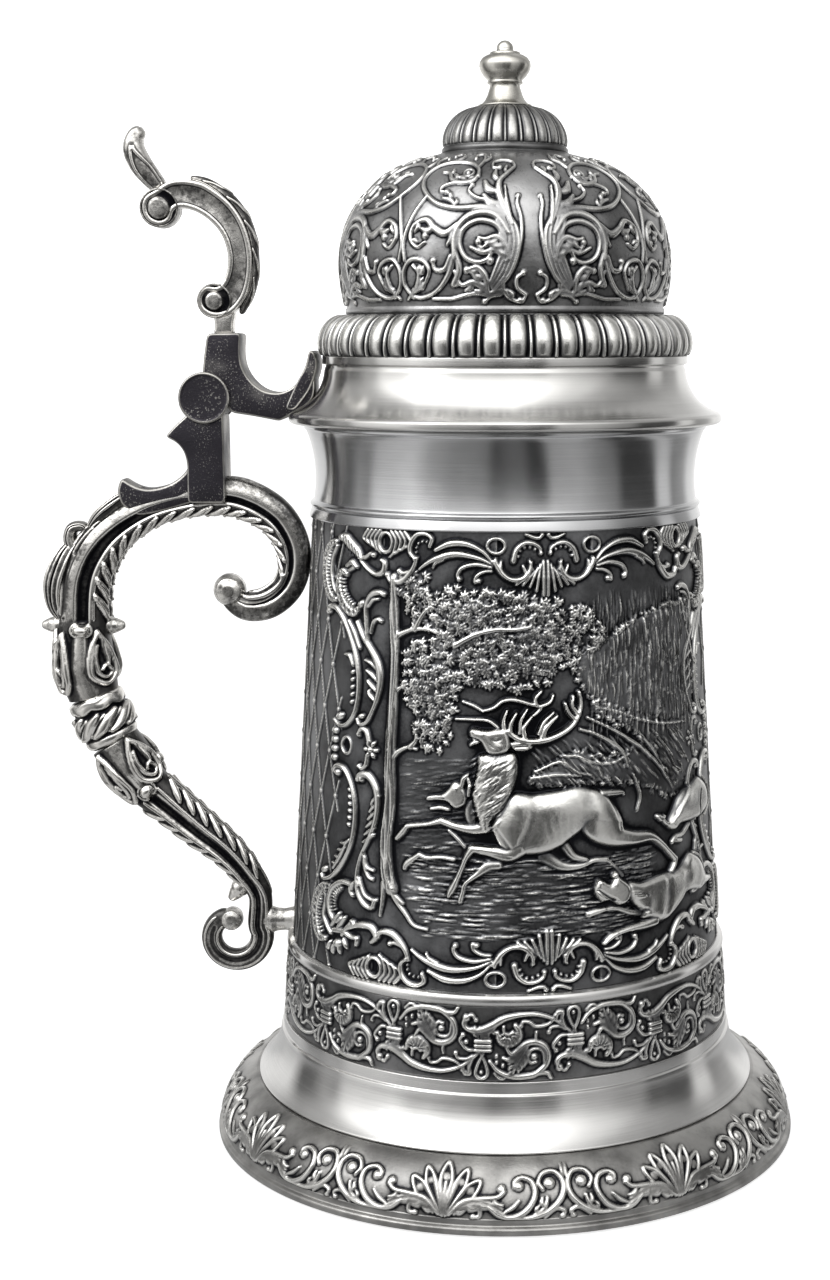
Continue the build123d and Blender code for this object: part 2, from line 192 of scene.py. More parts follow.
class Carver:
    """Carves a motif drawn in its own x and y onto a relief: mirrored, upside down or moved, as it is placed."""

    def __init__(self, relief, u=0, s=0, flip_x=1, flip_y=1):
        self.relief, self.u, self.s, self.fx, self.fy = relief, u, s, flip_x, flip_y

    def put(self, points):
        return pairs(points) * (self.fx, self.fy) + (self.u, self.s)

    def turned(self, degrees):
        return math.radians(degrees) * self.fx * self.fy

    def strand(self, points, wide, high=0.8, form="round", add=False):
        path, t = smooth(self.put(points))
        self.relief.ridge(path, along(wide, t), along(high, t), form, add)

    def scroll(self, points, wide, high=0.8, form="round", ball=1.5):
        """A strand that ends in a round eye."""
        self.strand(points, wide, high, form)
        end = np.atleast_1d(wide)[-1] * ball
        self.ball(pairs(points)[-1], end, np.atleast_1d(high)[-1] * 1.15)

    def ball(self, at, radius, high):
        self.relief.dome(self.put(at)[0], (radius, radius), 0, high, 0.5)

    def oval(self, at, radii, degrees, high, power=0.5, add=False):
        self.relief.dome(self.put(at)[0], radii, self.turned(degrees), high, power, add)

    def mound(self, at, radii, degrees, high):
        self.relief.dome(self.put(at)[0], radii, self.turned(degrees), high, 2, True)

    def pillow(self, points, edge, high):
        outline, _ = smooth(self.put(points), 0.5, closed=True)
        self.relief.pillow(outline, edge, high)

    def groove(self, points, wide, deep):
        self.strand(points, wide, -deep, "soft", True)

    def leaf(self, points, wide, high=0.8, lobes=4, side=1, spread=1.0):
        """An acanthus frond: a rib along the points with fat lobes that curl forward on one side, or on both sides
        for side 0."""
        path, t = smooth(pairs(points))
        w = along(wide, t)
        for n in range(lobes):
            i = int((n + 0.5) / (lobes + 0.35) * (len(path) - 2))
            ahead = path[i + 1] - path[i]
            ahead = ahead / np.hypot(*ahead)
            reach = w[i] * 3.3 * spread
            for hand in ((1, -1) if side == 0 else (side,)):
                out = np.array([-ahead[1], ahead[0]]) * hand
                tip = path[i] + out * reach + ahead * reach
                mid = path[i] + out * reach * 0.72 + ahead * reach * 0.25
                self.strand([path[i] - ahead * w[i] * 0.3, mid, tip], [w[i] * 0.6, w[i] * 1.1, w[i] * 0.45],
                            [high * 0.75, high * 0.95, high * 0.75])
        self.strand(points, np.atleast_1d(wide) * 0.9, high)
        if lobes:
            self.groove(points, np.atleast_1d(wide) * 0.3, high * 0.16)

    def sprig(self, at, size, degrees, high):
        """A small lobed leaf that lies on those before it."""
        self.oval(at, (size * 0.45, size * 0.4), degrees, high * 0.9)
        for turn in (-75, -25, 25, 75):
            a = math.radians(degrees + turn)
            tip = (at[0] + size * 0.62 * math.cos(a), at[1] + size * 0.62 * math.sin(a))
            self.oval(tip, (size * 0.5, size * 0.23), degrees + turn, high)

    def beads(self, points, radius, high, pitch):
        """A row of pearls along a path."""
        path, _ = smooth(self.put(points))
        length = STROKE_STEP * len(path)
        for at in path[np.linspace(0, len(path) - 1, max(int(length / pitch), 2)).astype(int)]:
            self.relief.dome(at, (radius, radius), 0, high, 0.5)

    def ribs(self, points, half, wide, high, pitch):
        """Short bars across a path, like the flutes of a shell scroll."""
        path, t = smooth(pairs(points))
        length = STROKE_STEP * len(path)
        halves = along(half, t)
        for i in np.linspace(2, len(path) - 3, max(int(length / pitch), 2)).astype(int):
            ahead = path[i + 1] - path[i - 1]
            across = np.array([-ahead[1], ahead[0]]) / np.hypot(*ahead) * halves[i]
            self.strand([path[i] - across, path[i], path[i] + across], wide, high)

    def ring(self, at, radii, wide, high):
        turns = [(at[0] + radii[0] * math.cos(a), at[1] + radii[1] * math.sin(a))
                 for a in np.linspace(0, math.tau, 13)]
        self.strand(turns, wide, high)

    def pit(self, at, radii, deep):
        self.oval(at, radii, 0, -deep, 0.25, True)


# ---- Surfaces -----------------------------------------------------------------------------------------------------

MM = 0.001
# How worn a flat place and a plain back are, and how much standing over what is near or far, or standing tall, adds
FLAT_WORN, BACK_WORN = 0.42, 0.45
NEAR_SHARE, FAR_SHARE, TALL_SHARE = 1.4, 0.45, 0.13


def grid_piece(name, rows, worn=None, loop=True, faces=None):
    """A mesh object from rows of points in millimetres. Each row closes on itself, and with loop the last row joins
    the first; otherwise both end rows are capped, with the triangles given for the first row where there are any.
    worn is how rubbed each point is, from 0 in a recess to 1."""
    rows = np.asarray(rows, float)
    tall, around = rows.shape[:2]
    index = np.arange(tall * around).reshape(tall, around)
    low = index if loop else index[:-1]
    high = np.roll(index, -1, 0) if loop else index[1:]
    quads = np.stack([low, np.roll(low, -1, 1), np.roll(high, -1, 1), high], -1).reshape(-1, 4)
    corners, starts = quads.ravel(), np.arange(len(quads)) * 4
    if not loop:
        caps = [index[0][::-1], index[-1]]
        if faces is not None:
            around_first = is_clockwise(rows[0], faces[0])
            first = [f[::-1] if around_first else f for f in faces]
            caps = [index[0][f] for f in first] + [index[-1][f[::-1]] for f in first]
        starts = np.concatenate([starts, len(corners) + np.cumsum([0] + [len(c) for c in caps[:-1]])])
        corners = np.concatenate([corners, *caps])
    mesh = bpy.data.meshes.new(name)
    mesh.vertices.add(tall * around)
    mesh.vertices.foreach_set("co", (rows * MM).ravel())
    mesh.loops.add(len(corners))
    mesh.loops.foreach_set("vertex_index", corners)
    mesh.polygons.add(len(starts))
    mesh.polygons.foreach_set("loop_start", starts)
    mesh.update(calc_edges=True)
    mesh.polygons.foreach_set("use_smooth", np.ones(len(mesh.polygons), bool))
    rubbed = mesh.attributes.new("worn", "FLOAT", "POINT")
    shade = np.full(tall * around, 0.5) if worn is None else np.asarray(worn, float).ravel()
    rubbed.data.foreach_set("value", shade)
    obj = bpy.data.objects.new(name, mesh)
    bpy.context.scene.collection.objects.link(obj)
    return obj


def is_clockwise(row, face):
    """Whether a face of a row in the handle's plane runs the same way round as the row itself."""
    def turn(loop):
        x, z = loop[:, 0], loop[:, 2]
        return np.sum(x * np.roll(z, -1) - z * np.roll(x, -1))
    return turn(row) * turn(row[np.array(face)]) > 0


def rounded(points, radius=0.25, steps=3, closed=True):
    """An outline with its corners rounded: (r, z) points, or (r, z, radius) for a corner of its own."""
    out = []
    n = len(points)
    for i in range(n):
        here = np.array(points[i][:2], float)
        if not closed and i in (0, n - 1):
            out.append(here)
            continue
        back = np.array(points[i - 1][:2], float) - here
        ahead = np.array(points[(i + 1) % n][:2], float) - here
        own = points[i][2] if len(points[i]) > 2 else radius
        a, b = np.hypot(*back), np.hypot(*ahead)
        cut = min(own, a * 0.45, b * 0.45)
        p, q = here + back / a * cut, here + ahead / b * cut
        if cut < 0.02 or abs(back[0] * ahead[1] - back[1] * ahead[0]) < 0.05 * a * b:
            out.append(here)
            continue
        for t in np.linspace(0, 1, steps + 1):
            out.append((1 - t) ** 2 * p + 2 * t * (1 - t) * here + t * t * q)
    return np.array(out)


def arc(start, via, end, count=12):
    """Points of a circular arc from start through via, without the last point."""
    (ax, ay), (bx, by), (cx, cy) = start, via, end
    d = 2 * (ax * (by - cy) + bx * (cy - ay) + cx * (ay - by))
    a, b, c = ax * ax + ay * ay, bx * bx + by * by, cx * cx + cy * cy
    ux = (a * (by - cy) + b * (cy - ay) + c * (ay - by)) / d
    uy = (a * (cx - bx) + b * (ax - cx) + c * (bx - ax)) / d
    a0, a1, a2 = (math.atan2(y - uy, x - ux) for x, y in (start, via, end))
    turn = (a2 - a0) % math.tau
    if (a1 - a0) % math.tau > turn:
        turn -= math.tau
    r = math.hypot(ax - ux, ay - uy)
    angles = [a0 + turn * k / count for k in range(count)]
    return [(ux + r * math.cos(angle), uy + r * math.sin(angle)) for angle in angles]


def about_axis(r, z, theta):
    """Rows of points round the vessel's axis; theta 0 faces front."""
    return np.stack([r * np.sin(theta), -r * np.cos(theta), z + 0 * theta], -1)


def spun(section, around):
    """Rows of points from a section of (r, z), turned about the vessel's axis."""
    return about_axis(section[:, :1], section[:, 1:], np.arange(around) / around * math.tau)


def turned(name, points, around=384, radius=0.25):
    """A plain lathe-turned ring from its closed outline."""
    return grid_piece(name, spun(rounded(points, radius), around))


def evenly(points, count):
    """Points at an even pitch along a path of (r, z), and the outward direction at each."""
    p = np.array(points, float)
    far = np.concatenate([[0], np.cumsum(np.hypot(*np.diff(p, axis=0).T))])
    even = np.linspace(0, far[-1], count)
    path = np.stack([np.interp(even, far, p[:, k]) for k in (0, 1)], 1)
    run = np.gradient(path, axis=0)
    out = np.stack([run[:, 1], -run[:, 0]], 1)
    return path, out / np.hypot(*out.T)[:, None]


def length_of(points):
    return float(np.hypot(*np.diff(np.array(points, float), axis=0).T).sum())


def halved(grid):
    """The grid at half its fineness."""
    rows, cols = grid.shape[0] // 2 * 2, grid.shape[1] // 2 * 2
    g = grid[:rows, :cols]
    return (g[::2, ::2] + g[1::2, ::2] + g[::2, 1::2] + g[1::2, 1::2]) / 4


def rub(relief, fine, broad, lift=0.0):
    """How worn bright a relief is: high and edge points are rubbed, recesses keep their patina."""
    h = relief.h
    near, far = h - relief.blurred(fine), h - relief.blurred(broad)
    return np.clip(FLAT_WORN + lift + near * NEAR_SHARE + far * FAR_SHARE + np.clip(h, 0, 2.5) * TALL_SHARE, 0, 1)


def embossed(name, wall, rest, relief, fine=0.35, broad=1.15, lift=0.0):
    """A turned ring whose outer wall, from bottom to top, carries a relief; rest closes the section from top to
    bottom."""
    height, worn = halved(relief.h), halved(rub(relief, fine, broad, lift))
    path, out = evenly(wall, height.shape[0])
    around = height.shape[1]
    theta = (np.arange(around) + 0.5) / around * math.tau
    front = about_axis(path[:, :1] + out[:, :1] * height, path[:, 1:] + out[:, 1:] * height, theta)
    back_section = np.array(rest, float)
    back = about_axis(back_section[:, :1], back_section[:, 1:], theta)
    plain_back = np.full((len(back), around), BACK_WORN)
    return grid_piece(name, np.concatenate([front, back]), np.concatenate([worn, plain_back]))


def joined(name, parts):
    """Several closed pieces of one casting as one object."""
    for p in parts[1:]:
        p.select_set(False)
    with bpy.context.temp_override(active_object=parts[0], selected_editable_objects=parts):
        bpy.ops.object.join()
    parts[0].name = parts[0].data.name = name
    return parts[0]


# ---- Motifs, drawn in millimetres, x and y of each point one after the other --------------------------------------

def carve_round(relief, start, count, carve_half):
    """A motif of two mirrored halves, so many times round the vessel."""
    for n in range(count):
        for side in (1, -1):
            carve_half(Carver(relief, start + n * relief.around / count, 0, side))


# ---- Dome: a pair of acanthus scrolls ----

def carve_dome_half(c):
    """Half a motif: x runs from the axis to the gap, y up the dome."""
    # long stems first, so that leaves and plume lie over them
    c.strand([6.6,21.4, 11.7,22.9, 18.7,22.8, 24.7,24.4, 29.7,28.5, 31.4,32.6, 29.4,36.6, 24.7,38.4, 18.7,37.9, 15,35.4,
             14.2,32.2], [0.95, 0.75, 0.55, 0.5, 0.6, 0.6], 0.85)
    c.strand([17.4,17, 18.3,12, 19.9,7, 23.4,3.2, 28,2, 31.2,4.4, 31.5,8.2, 29.4,10.8, 26.2,10.4, 24.6,8.2, 25.4,6],
             [0.95, 0.8, 0.55, 0.5, 0.55, 0.5, 0.4], 0.85)
    c.strand([27.7,26.2, 30.2,21, 31.8,15, 31.3,10.6], [0.4, 0.5, 0.45], 0.75)
    c.strand([6,3.4, 9.4,2.5, 13.7,2.9, 19,1.7, 24,1.7], [0.7, 0.5, 0.4], 0.7)
    # plume: five long feathers that rise together and part
    for n in range(5):
        c.strand([(9 + 0.25 * n, 3.2 + 0.5 * n), (5.4 + 0.7 * n, 7 + 0.6 * n), (3.4 + 0.95 * n, 12.4),
                 (3.4 + 1 * n, 17 - 0.1 * n), (5 + 0.9 * n, 20.6)], [0.3, 0.5, 0.62, 0.6, 0.4],
                 [0.7, 0.95 - 0.05 * n, 1 - 0.06 * n, 0.9])
    c.scroll([8.8,3.6, 4.4,8.6, 2.6,14.6, 2.4,20, 3.2,24, 2.9,26], [0.3, 0.45, 0.45, 0.4, 0.36], 0.85, ball=1.9)
    # crown leaf of the plume
    c.leaf([5,19.6, 6.6,23, 8,27, 7.9,30.6, 5.6,33.2, 3.4,35.6], [0.9, 1.15, 1.05, 0.7, 0.45], 1.05, 5, -1, 1)
    c.strand([5.6,33.2, 3.3,36, 4,38.4, 7.4,39.1, 10.2,37.9, 10.2,35.8, 8.6,35.2], [0.5, 0.5, 0.45, 0.4], 0.8)
    c.ball((8.1, 35.7), 0.85, 0.9)
    c.strand([4.6,18.6, 5.8,24, 6.4,29], [0.4, 0.5, 0.3], 1.1)
    c.scroll([6.6,21.8, 9.7,24.2, 13.7,25.5, 16,27.4, 15.4,29.2], [0.7, 0.62, 0.42, 0.36], 0.85, ball=2)
    c.leaf([18.7,22.9, 20.4,24.8, 23,25.6], [0.3, 0.7, 0.3], 0.75, 2, 1, 0.8)
    # upper loop's flower
    c.leaf([14.3,33, 15.4,30.7, 18.7,30, 21.7,31, 23.5,33.4, 26,34], [0.5, 0.85, 0.8, 0.6, 0.4], 0.9, 4, 1, 0.8)
    c.ring((17.4, 33.4), (1.5, 1.3), 0.42, 0.8)
    c.ball((17.6, 33.5), 0.8, 0.9)
    c.scroll([17.4,30.2, 21.2,29.9, 23.9,28.8, 23.9,27.4, 22.2,27.2], [0.6, 0.5, 0.4], 0.8, ball=1.8)
    # great spiral, two bands and its leaf
    c.strand([5.4,16.6, 8.7,20.8, 12.9,21.5, 16.6,19.6, 18.4,15.8, 18.2,11], [0.75, 0.95, 0.95, 0.8, 0.7], 1.05)
    c.strand([6.2,15, 8.5,18.6, 12.6,19.6, 16.1,17.8, 17.1,14.5, 15.8,11.3, 13,10, 10.6,10.6, 9.6,12],
             [0.6, 0.72, 0.7, 0.6, 0.55, 0.5], 0.85)
    c.leaf([5.4,10.6, 6.2,13.6, 8.2,15.7, 11,15.2, 12.6,15.6], [0.7, 1.05, 0.75, 0.4], 1, 4, -1, 0.8)
    c.ball((12.6, 14.6), 0.85, 0.95)
    c.leaf([6,9.6, 8.4,12.6, 11.6,12.2, 14.4,13.4], [0.5, 0.8, 0.4], 0.85, 3, 1, 0.6)
    c.ball((9.9, 10.3), 0.95, 0.95)
    # curl and leaf outside the spiral
    c.leaf([17.6,18.8, 20.7,16.7, 23.7,18, 26.2,20, 29.2,18.7, 29.9,15.6, 27.9,13.6, 25.9,14.6],
           [0.8, 1.05, 0.85, 0.6, 0.5, 0.4], 0.95, 4, -1, 0.75)
    c.ball((25.9, 16.2), 0.95, 0.9)
    c.scroll([19.2,11.4, 20.6,8.6, 23,8.4, 23.6,10.4], [0.6, 0.6, 0.4], 0.85, ball=1.9)
    c.leaf([18.6,5, 17.2,8.2, 17.9,12.4], [0.8, 0.9, 0.5], 0.85, 0)
    # flower in the lower loop
    c.leaf([31,1.6, 28.2,4.4, 27.4,7.6, 29,9.4], [0.4, 0.8, 0.4], 0.85, 3, 1, 0.7)
    c.leaf([30.4,2.4, 26.6,4.6, 24.6,7], [0.3, 0.6, 0.3], 0.8, 2, -1, 0.7)
    c.ball((27.2, 8.6), 0.9, 0.9)
    # leaves under the spiral
    c.leaf([10.4,3.4, 11,6.6, 12.7,8.8, 14.6,8.6], [0.6, 0.9, 0.45], 0.9, 3, -1, 0.8)
    c.ball((15.3, 8.2), 0.8, 0.85)
    c.leaf([10,3, 13.7,5.4, 16.7,4.9, 18.3,8], [0.5, 0.85, 0.5, 0.35], 0.85, 3, -1, 0.7)
    # foot
    c.leaf([1.4,2.4, 2.4,0.9, 5,1.8, 7,3.7, 9.6,3.2], [0.4, 0.5, 0.8, 0.4], 0.9, 3, 1, 0.7)
    c.scroll([1.3,2.6, 3.3,4.2, 3.5,6.4, 2,7.6], [0.45, 0.5, 0.36], 0.8, ball=1.8)
    c.scroll([7.6,2.6, 9.6,2.2, 11.2,1], [0.5, 0.45, 0.4], 0.75, ball=1.8)
    # crown curls near the cap
    c.scroll([15,35.4, 13.6,39.4, 14.8,42.6, 17.4,42, 17.2,40.2], [0.55, 0.6, 0.42], 0.8, ball=1.8)
    c.leaf([14,38, 11.8,40.4, 12.6,43.4], [0.4, 0.7, 0.35], 0.8, 2, -1, 0.9)
    c.scroll([24.7,38.4, 22.4,41.2, 24.6,43.2, 26.6,41.8], [0.45, 0.55, 0.4], 0.75, ball=1.8)
    c.scroll([30,35.8, 31.4,39, 30,41.4, 28.4,40.4], [0.4, 0.45, 0.36], 0.7, ball=1.8)


# ---- Frieze: one scroll cell, turned upside down at every other place ----

def carve_frieze_cell(c):
    """One cell: x runs from one tie to the next, y up the band."""
    # main stem, from its curl under the tie to the next tie
    c.strand([-4.4,2.4, -4.6,3.8, -3.2,4.9, -0.6,5, 2.2,3.8, 5,2.2, 9,1.3, 13,1.3, 17,2.6, 20,4.8, 21.6,6.4],
             [0.45, 0.7, 1, 0.95, 0.8, 0.62, 0.52, 0.46, 0.42, 0.4], [0.9, 1.05, 1, 0.85, 0.8])
    c.ball((-4, 2.2), 0.95, 1)
    c.leaf([-2.6,4.6, -0.6,5.6, 1.6,5.2, 3.4,3.6], [0.5, 0.7, 0.4], 0.9, 3, 1, 0.6)
    # fluted shell
    c.strand([3.4,5.4, 4.2,7.3, 6.2,8, 8.2,7, 8.7,5.2, 7.9,3.8], [0.5, 1.05, 1.25, 1.1, 0.6], 1)
    c.ribs([3.9,5.9, 4.9,7.3, 6.3,7.6, 7.8,6.7, 8.1,5.2], 0.95, 0.2, 1.25, 0.8)
    c.strand([4.9,4, 5.1,5.4, 6.3,5.9, 7.2,5.2], [0.35, 0.5, 0.35], 0.85)
    # top stem and the great spiral
    c.strand([1.6,12.2, 3.8,14.6, 7.4,15.8, 11.4,15.6, 13.4,15, 15.4,15.2, 16.3,16.5], [0.4, 0.62, 0.8, 0.75, 0.4], 0.9)
    c.strand([12.4,15.4, 15,13.2, 15.6,10.6, 14.6,8.7, 12.4,7.8, 10.2,8.2, 8.3,9.7, 6.8,10.4, 5.7,9],
             [0.6, 0.72, 0.75, 0.8, 0.85, 0.75, 0.4], 0.95)
    c.strand([14.7,12.8, 14.4,10.2, 13,9.3, 11.4,9.7, 10.7,11.2, 11.4,12.6, 12.6,12.4], [0.35, 0.42, 0.42, 0.4], 0.75)
    c.ball((12.2, 11.2), 0.85, 0.9)
    c.leaf([10.4,8.8, 9,10.9, 7.9,13, 7.2,15], [0.7, 0.95, 0.7, 0.35], 0.95, 4, 0, 0.6)
    c.strand([4.8,11.4, 6.8,11.9, 8.6,10.9], [0.4, 0.7, 0.4], 0.85)
    c.scroll([2.8,15, 4.2,16.2, 5.4,15.9, 6.6,14.8], [0.35, 0.42, 0.35], 0.7, ball=1.5)
    for x, y in ((4.7, 13.2), (3.2, 11), (3.2, 12.5)):
        c.oval((x, y), (0.36, 0.6), 10, 0.7)
    # bow over the tie
    c.strand([-0.5,10.4, 0.8,13.2, 1,15.4, -0.4,16.3, -1.7,15.2, -1.2,13, 0.1,10.4], [0.36, 0.42, 0.45, 0.42, 0.36],
             0.8)
    c.ball((-0.4, 14.9), 0.5, 0.7)
    c.scroll([-1.2,10.6, -3.2,12.6, -3.4,15, -4.8,14.4], [0.35, 0.42, 0.36], 0.7, ball=1.8)
    # tendrils over the stem, towards the next tie
    c.scroll([17.4,2.3, 15.6,3.7, 12.8,4.1, 11.2,3.1, 9.7,2.9, 9.2,3.9], [0.3, 0.42, 0.42, 0.36], 0.7, ball=1.5)
    c.strand([12.8,5.4, 12.7,7, 13.8,8.3], [0.3, 0.42, 0.36], 0.75)
    c.scroll([19.8,5.2, 18.4,4.4, 16.4,4.5, 15.8,5.6], [0.36, 0.4, 0.36], 0.7, ball=1.6)
    c.strand([17.7,2.4, 17.9,1, 19.3,1, 19.1,2.5, 19.9,4.6, 20.9,5.8], [0.36, 0.42, 0.4], 0.75)
    c.scroll([20.8,6.5, 18.8,6.6, 17.6,7.6, 16.8,8.9, 17.5,10], [0.36, 0.5, 0.42], 0.75, ball=1.5)
    c.ball((18.3, 8.4), 0.6, 0.75)
    c.scroll([20.4,10.2, 18.4,11.8, 18.2,13.8, 19.6,14.8, 20.6,13.6], [0.36, 0.45, 0.36], 0.7, ball=1.6)
    # the banded tie
    for n in range(4):
        c.strand([(-1 + 0.7 * n, 6.9), (-1.9 + 1.2 * n, 4.3)], [0.3, 0.4], 0.75)
    for y in (7.5, 8.55, 9.6):
        c.strand([(-1.7, y), (1.7, y)], 0.52, 1.1, "band")


def carve_frieze(relief, start):
    margin = 0.6
    for n in range(FRIEZE_CELLS):
        foot, up = (relief.tall - margin, -1) if n % 2 else (margin, 1)
        carve_frieze_cell(Carver(relief, start + n * relief.around / FRIEZE_CELLS, foot, 1, up))


# ---- Foot rim: palmettes between scrolls ----

def carve_rim_half(c):
    """Half a motif: x runs from the palmette's axis to the small leaf, y up the rim."""
    def lobe(tip, half, turn):
        """One hollow lobe of the palmette, drawn by its raised edge."""
        base = (0.25, 0.4)
        side = np.array([math.cos(turn), -math.sin(turn)]) * half
        top, stem = np.array(tip), np.array(base)
        shoulder = top + (stem - top) * 0.28
        waist = (stem + shoulder) / 2
        outline = [base, waist - side * 0.55, shoulder - side, top, shoulder + side, waist + side * 0.55, base]
        c.strand(outline, [0.2, 0.36, 0.42, 0.46, 0.42, 0.36, 0.2], 0.75)
        c.oval(tuple(shoulder), (half * 0.8, half * 0.8), 0, 0.35, 0.5)

    lobe((0, 12.8), 1.35, 0)
    lobe((4.9, 11.2), 1.15, 0.42)
    lobe((8, 8.6), 1.35, 0.8)
    c.strand([0,1, 0,8], [0.4, 0.5], 0.7)
    c.strand([0.3,0.8, 3.2,9.4], [0.3, 0.42], 0.6)
    c.strand([0.4,0.8, 5.2,7.2], [0.3, 0.42], 0.6)
    c.leaf([1.2,1, 4.4,3.9, 8.4,4.7, 11.8,5.1, 13.6,6.3], [0.5, 0.85, 0.7, 0.5], 0.9, 4, -1, 0.9)
    c.ball((12.9, 6.9), 1.05, 0.95)
    c.strand([3.6,2.6, 7.2,3.4, 11,2.6, 14.4,0.9], [0.6, 0.7, 0.35], 0.8)
    c.strand([4,3.2, 9,4, 13,2.6], [0.4, 0.6, 0.35], 0.75)
    c.scroll([2.4,1.2, 5.2,3.2, 7.8,2.6, 7.9,0.9, 6.6,0.7], [0.4, 0.55, 0.45], 0.75)
    c.strand([10,3, 12.4,1.2, 15.6,0.7, 18.8,2.4, 20.6,5.6, 20,8.4, 17.8,9.4, 16,8.6, 16,7.2],
             [0.5, 0.75, 0.7, 0.6, 0.45], 0.95)
    c.ball((16.9, 7.5), 1.15, 1.05)
    c.strand([13.2,1.6, 15.4,2.8, 17,4.4], [0.35, 0.5, 0.3], 0.7)
    c.strand([15,0.6, 19.4,0.6, 23.6,2, 26.6,4.8, 27.3,8, 25.6,10.5, 22.9,10.4, 21.5,8.4, 22.4,6.6],
             [0.45, 0.65, 0.7, 0.55, 0.45], 0.95)
    c.ball((24, 8), 1.3, 1.05)
    c.leaf([20,1, 22.6,2.6, 23.4,4.9], [0.4, 0.6, 0.4], 0.8, 2, 1, 0.8)
    c.scroll([22.6,0.6, 25.2,2.4, 27,1.8, 26.6,0.7], [0.35, 0.45, 0.42], 0.75)
    c.oval((28.25, 10.4), (0.5, 2.6), 0, 0.7, 0.7)


# ---- Drum: hunting scene in a scrolled frame ----

def carve_border_half(c):
    """Half the border over or under the scene: x runs from the panel's axis outwards, y in from the drum's edge."""
    # palmette
    for tip, half in (((0.55, 14.6), 0.85), ((2.3, 13.6), 0.75), ((3.9, 12.6), 0.7), ((5.6, 12.2), 0.65),
        ((7.2, 12.1), 0.6)):
        base = (0.3 + tip[0] * 0.42, 6.6 + tip[0] * 0.42)
        c.strand([base, ((base[0] + tip[0]) / 2 + 0.05, (base[1] + tip[1]) / 2), tip],
                 [half * 0.45, half * 0.7, half * 0.62], [0.7, 1.15, 1])
    # arched scroll over the eye
    c.leaf([3.6,7, 4.2,9.4, 6.2,10.9, 8.6,10.9, 10.6,9.6, 12,7.4, 12.3,6.3], [0.45, 0.75, 0.8, 0.7, 0.9, 0.5], 1.15, 0)
    for a, b in (((3.5, 8.6), (4, 6.6)), ((4.8, 9.6), (5.6, 7.8)), ((11, 8.6), (11, 6.8)), ((11.8, 8.4), (12.9, 6.6))):
        c.strand([a, b], [0.55, 0.3], 1)
    # beaded curl beside the axis
    c.scroll([7.9,6.6, 7.2,4.2, 5.4,2.6, 3.2,2.6, 1.5,3.6, 1.2,4.9], [0.8, 0.65, 0.5, 0.4], 1)
    c.beads([6.7,5.6, 6,4, 4.4,3.4, 2.6,4], 0.34, 0.85, 0.95)
    c.scroll([4.8,0.5, 2.8,1.3, 1.4,1.3, 0.8,0.6], [0.35, 0.5, 0.4], 0.8)
    # eye
    c.ring((12.2, 3.2), (2.15, 1.7), 0.42, 0.55)
    c.pit((12.2, 3.2), (1.9, 1.45), 0.7)
    # three long blades and two short curls
    c.scroll([13.2,9, 15.2,9.2, 16.9,10.2, 17.3,11.6, 16.3,11.3], [0.32, 0.5, 0.45], 0.9)
    c.scroll([13.2,8.2, 17,7.5, 20.4,8.3, 21.6,10, 21.2,11], [0.3, 0.55, 0.6, 0.5], 1)
    c.strand([13,7.6, 16.6,6, 22,5.2, 26.6,6.2, 29.6,7.6, 31.6,9], [0.3, 0.55, 0.8, 0.95, 0.7, 0.35],
             [0.8, 1.1, 1.1, 0.8])
    c.strand([25.2,6.6, 27.2,7.4, 28,8.6], [0.35, 0.5, 0.25], 0.9)
    c.strand([13,7, 15.6,4.4, 19.4,2.8, 23.6,2.8, 27.4,4.4], [0.3, 0.5, 0.8, 0.85, 0.55], [0.8, 1.1, 1.1, 0.9])
    # C scroll with pearls
    c.scroll([28.9,3.6, 28.4,1.8, 30,0.7, 32.4,1, 34,2.9, 34.2,5.2, 32.8,6.6], [0.5, 0.6, 0.7, 0.7, 0.5], 1.05)
    c.beads([32.6,5.2, 32.4,3.4, 31,2.6, 29.8,2.6], 0.3, 0.8, 0.9)
    # the outer crook
    c.scroll([32.2,6.4, 33.6,9.4, 36.4,12, 39.4,12.2, 40.6,10.8], [0.35, 0.8, 0.95, 0.6], 1.1, ball=1.3)
    c.scroll([34,9.4, 35.8,10.1, 37.2,9.7], [0.4, 0.6, 0.5], 0.95)
    # shell of upright flames round a ring, at the frame's axis
    c.ring((41.5, 3.2), (2.1, 2.3), 0.55, 0.95)
    c.pit((41.5, 3.2), (1.6, 1.8), 0.4)
    flame = [0.55, 0.6, 0.45, 0.3]
    for n in range(4):
        x = 38.4 - 1.5 * n * 0.9
        c.strand([(x + 1.4, 0.4), (x - 0.2, 2.6), (x + 0.5, 5.4 - 0.5 * n), (x + 1.7, 6.6 - 0.8 * n)], flame, 0.95)
    for n in range(4):
        x = 44.6 + 1.35 * n
        c.strand([(x - 1.4, 0.4), (x + 0.2, 2.4), (x - 0.5, 4.6 - 0.5 * n), (x - 1.6, 5.8 - 0.7 * n)], flame, 0.95)


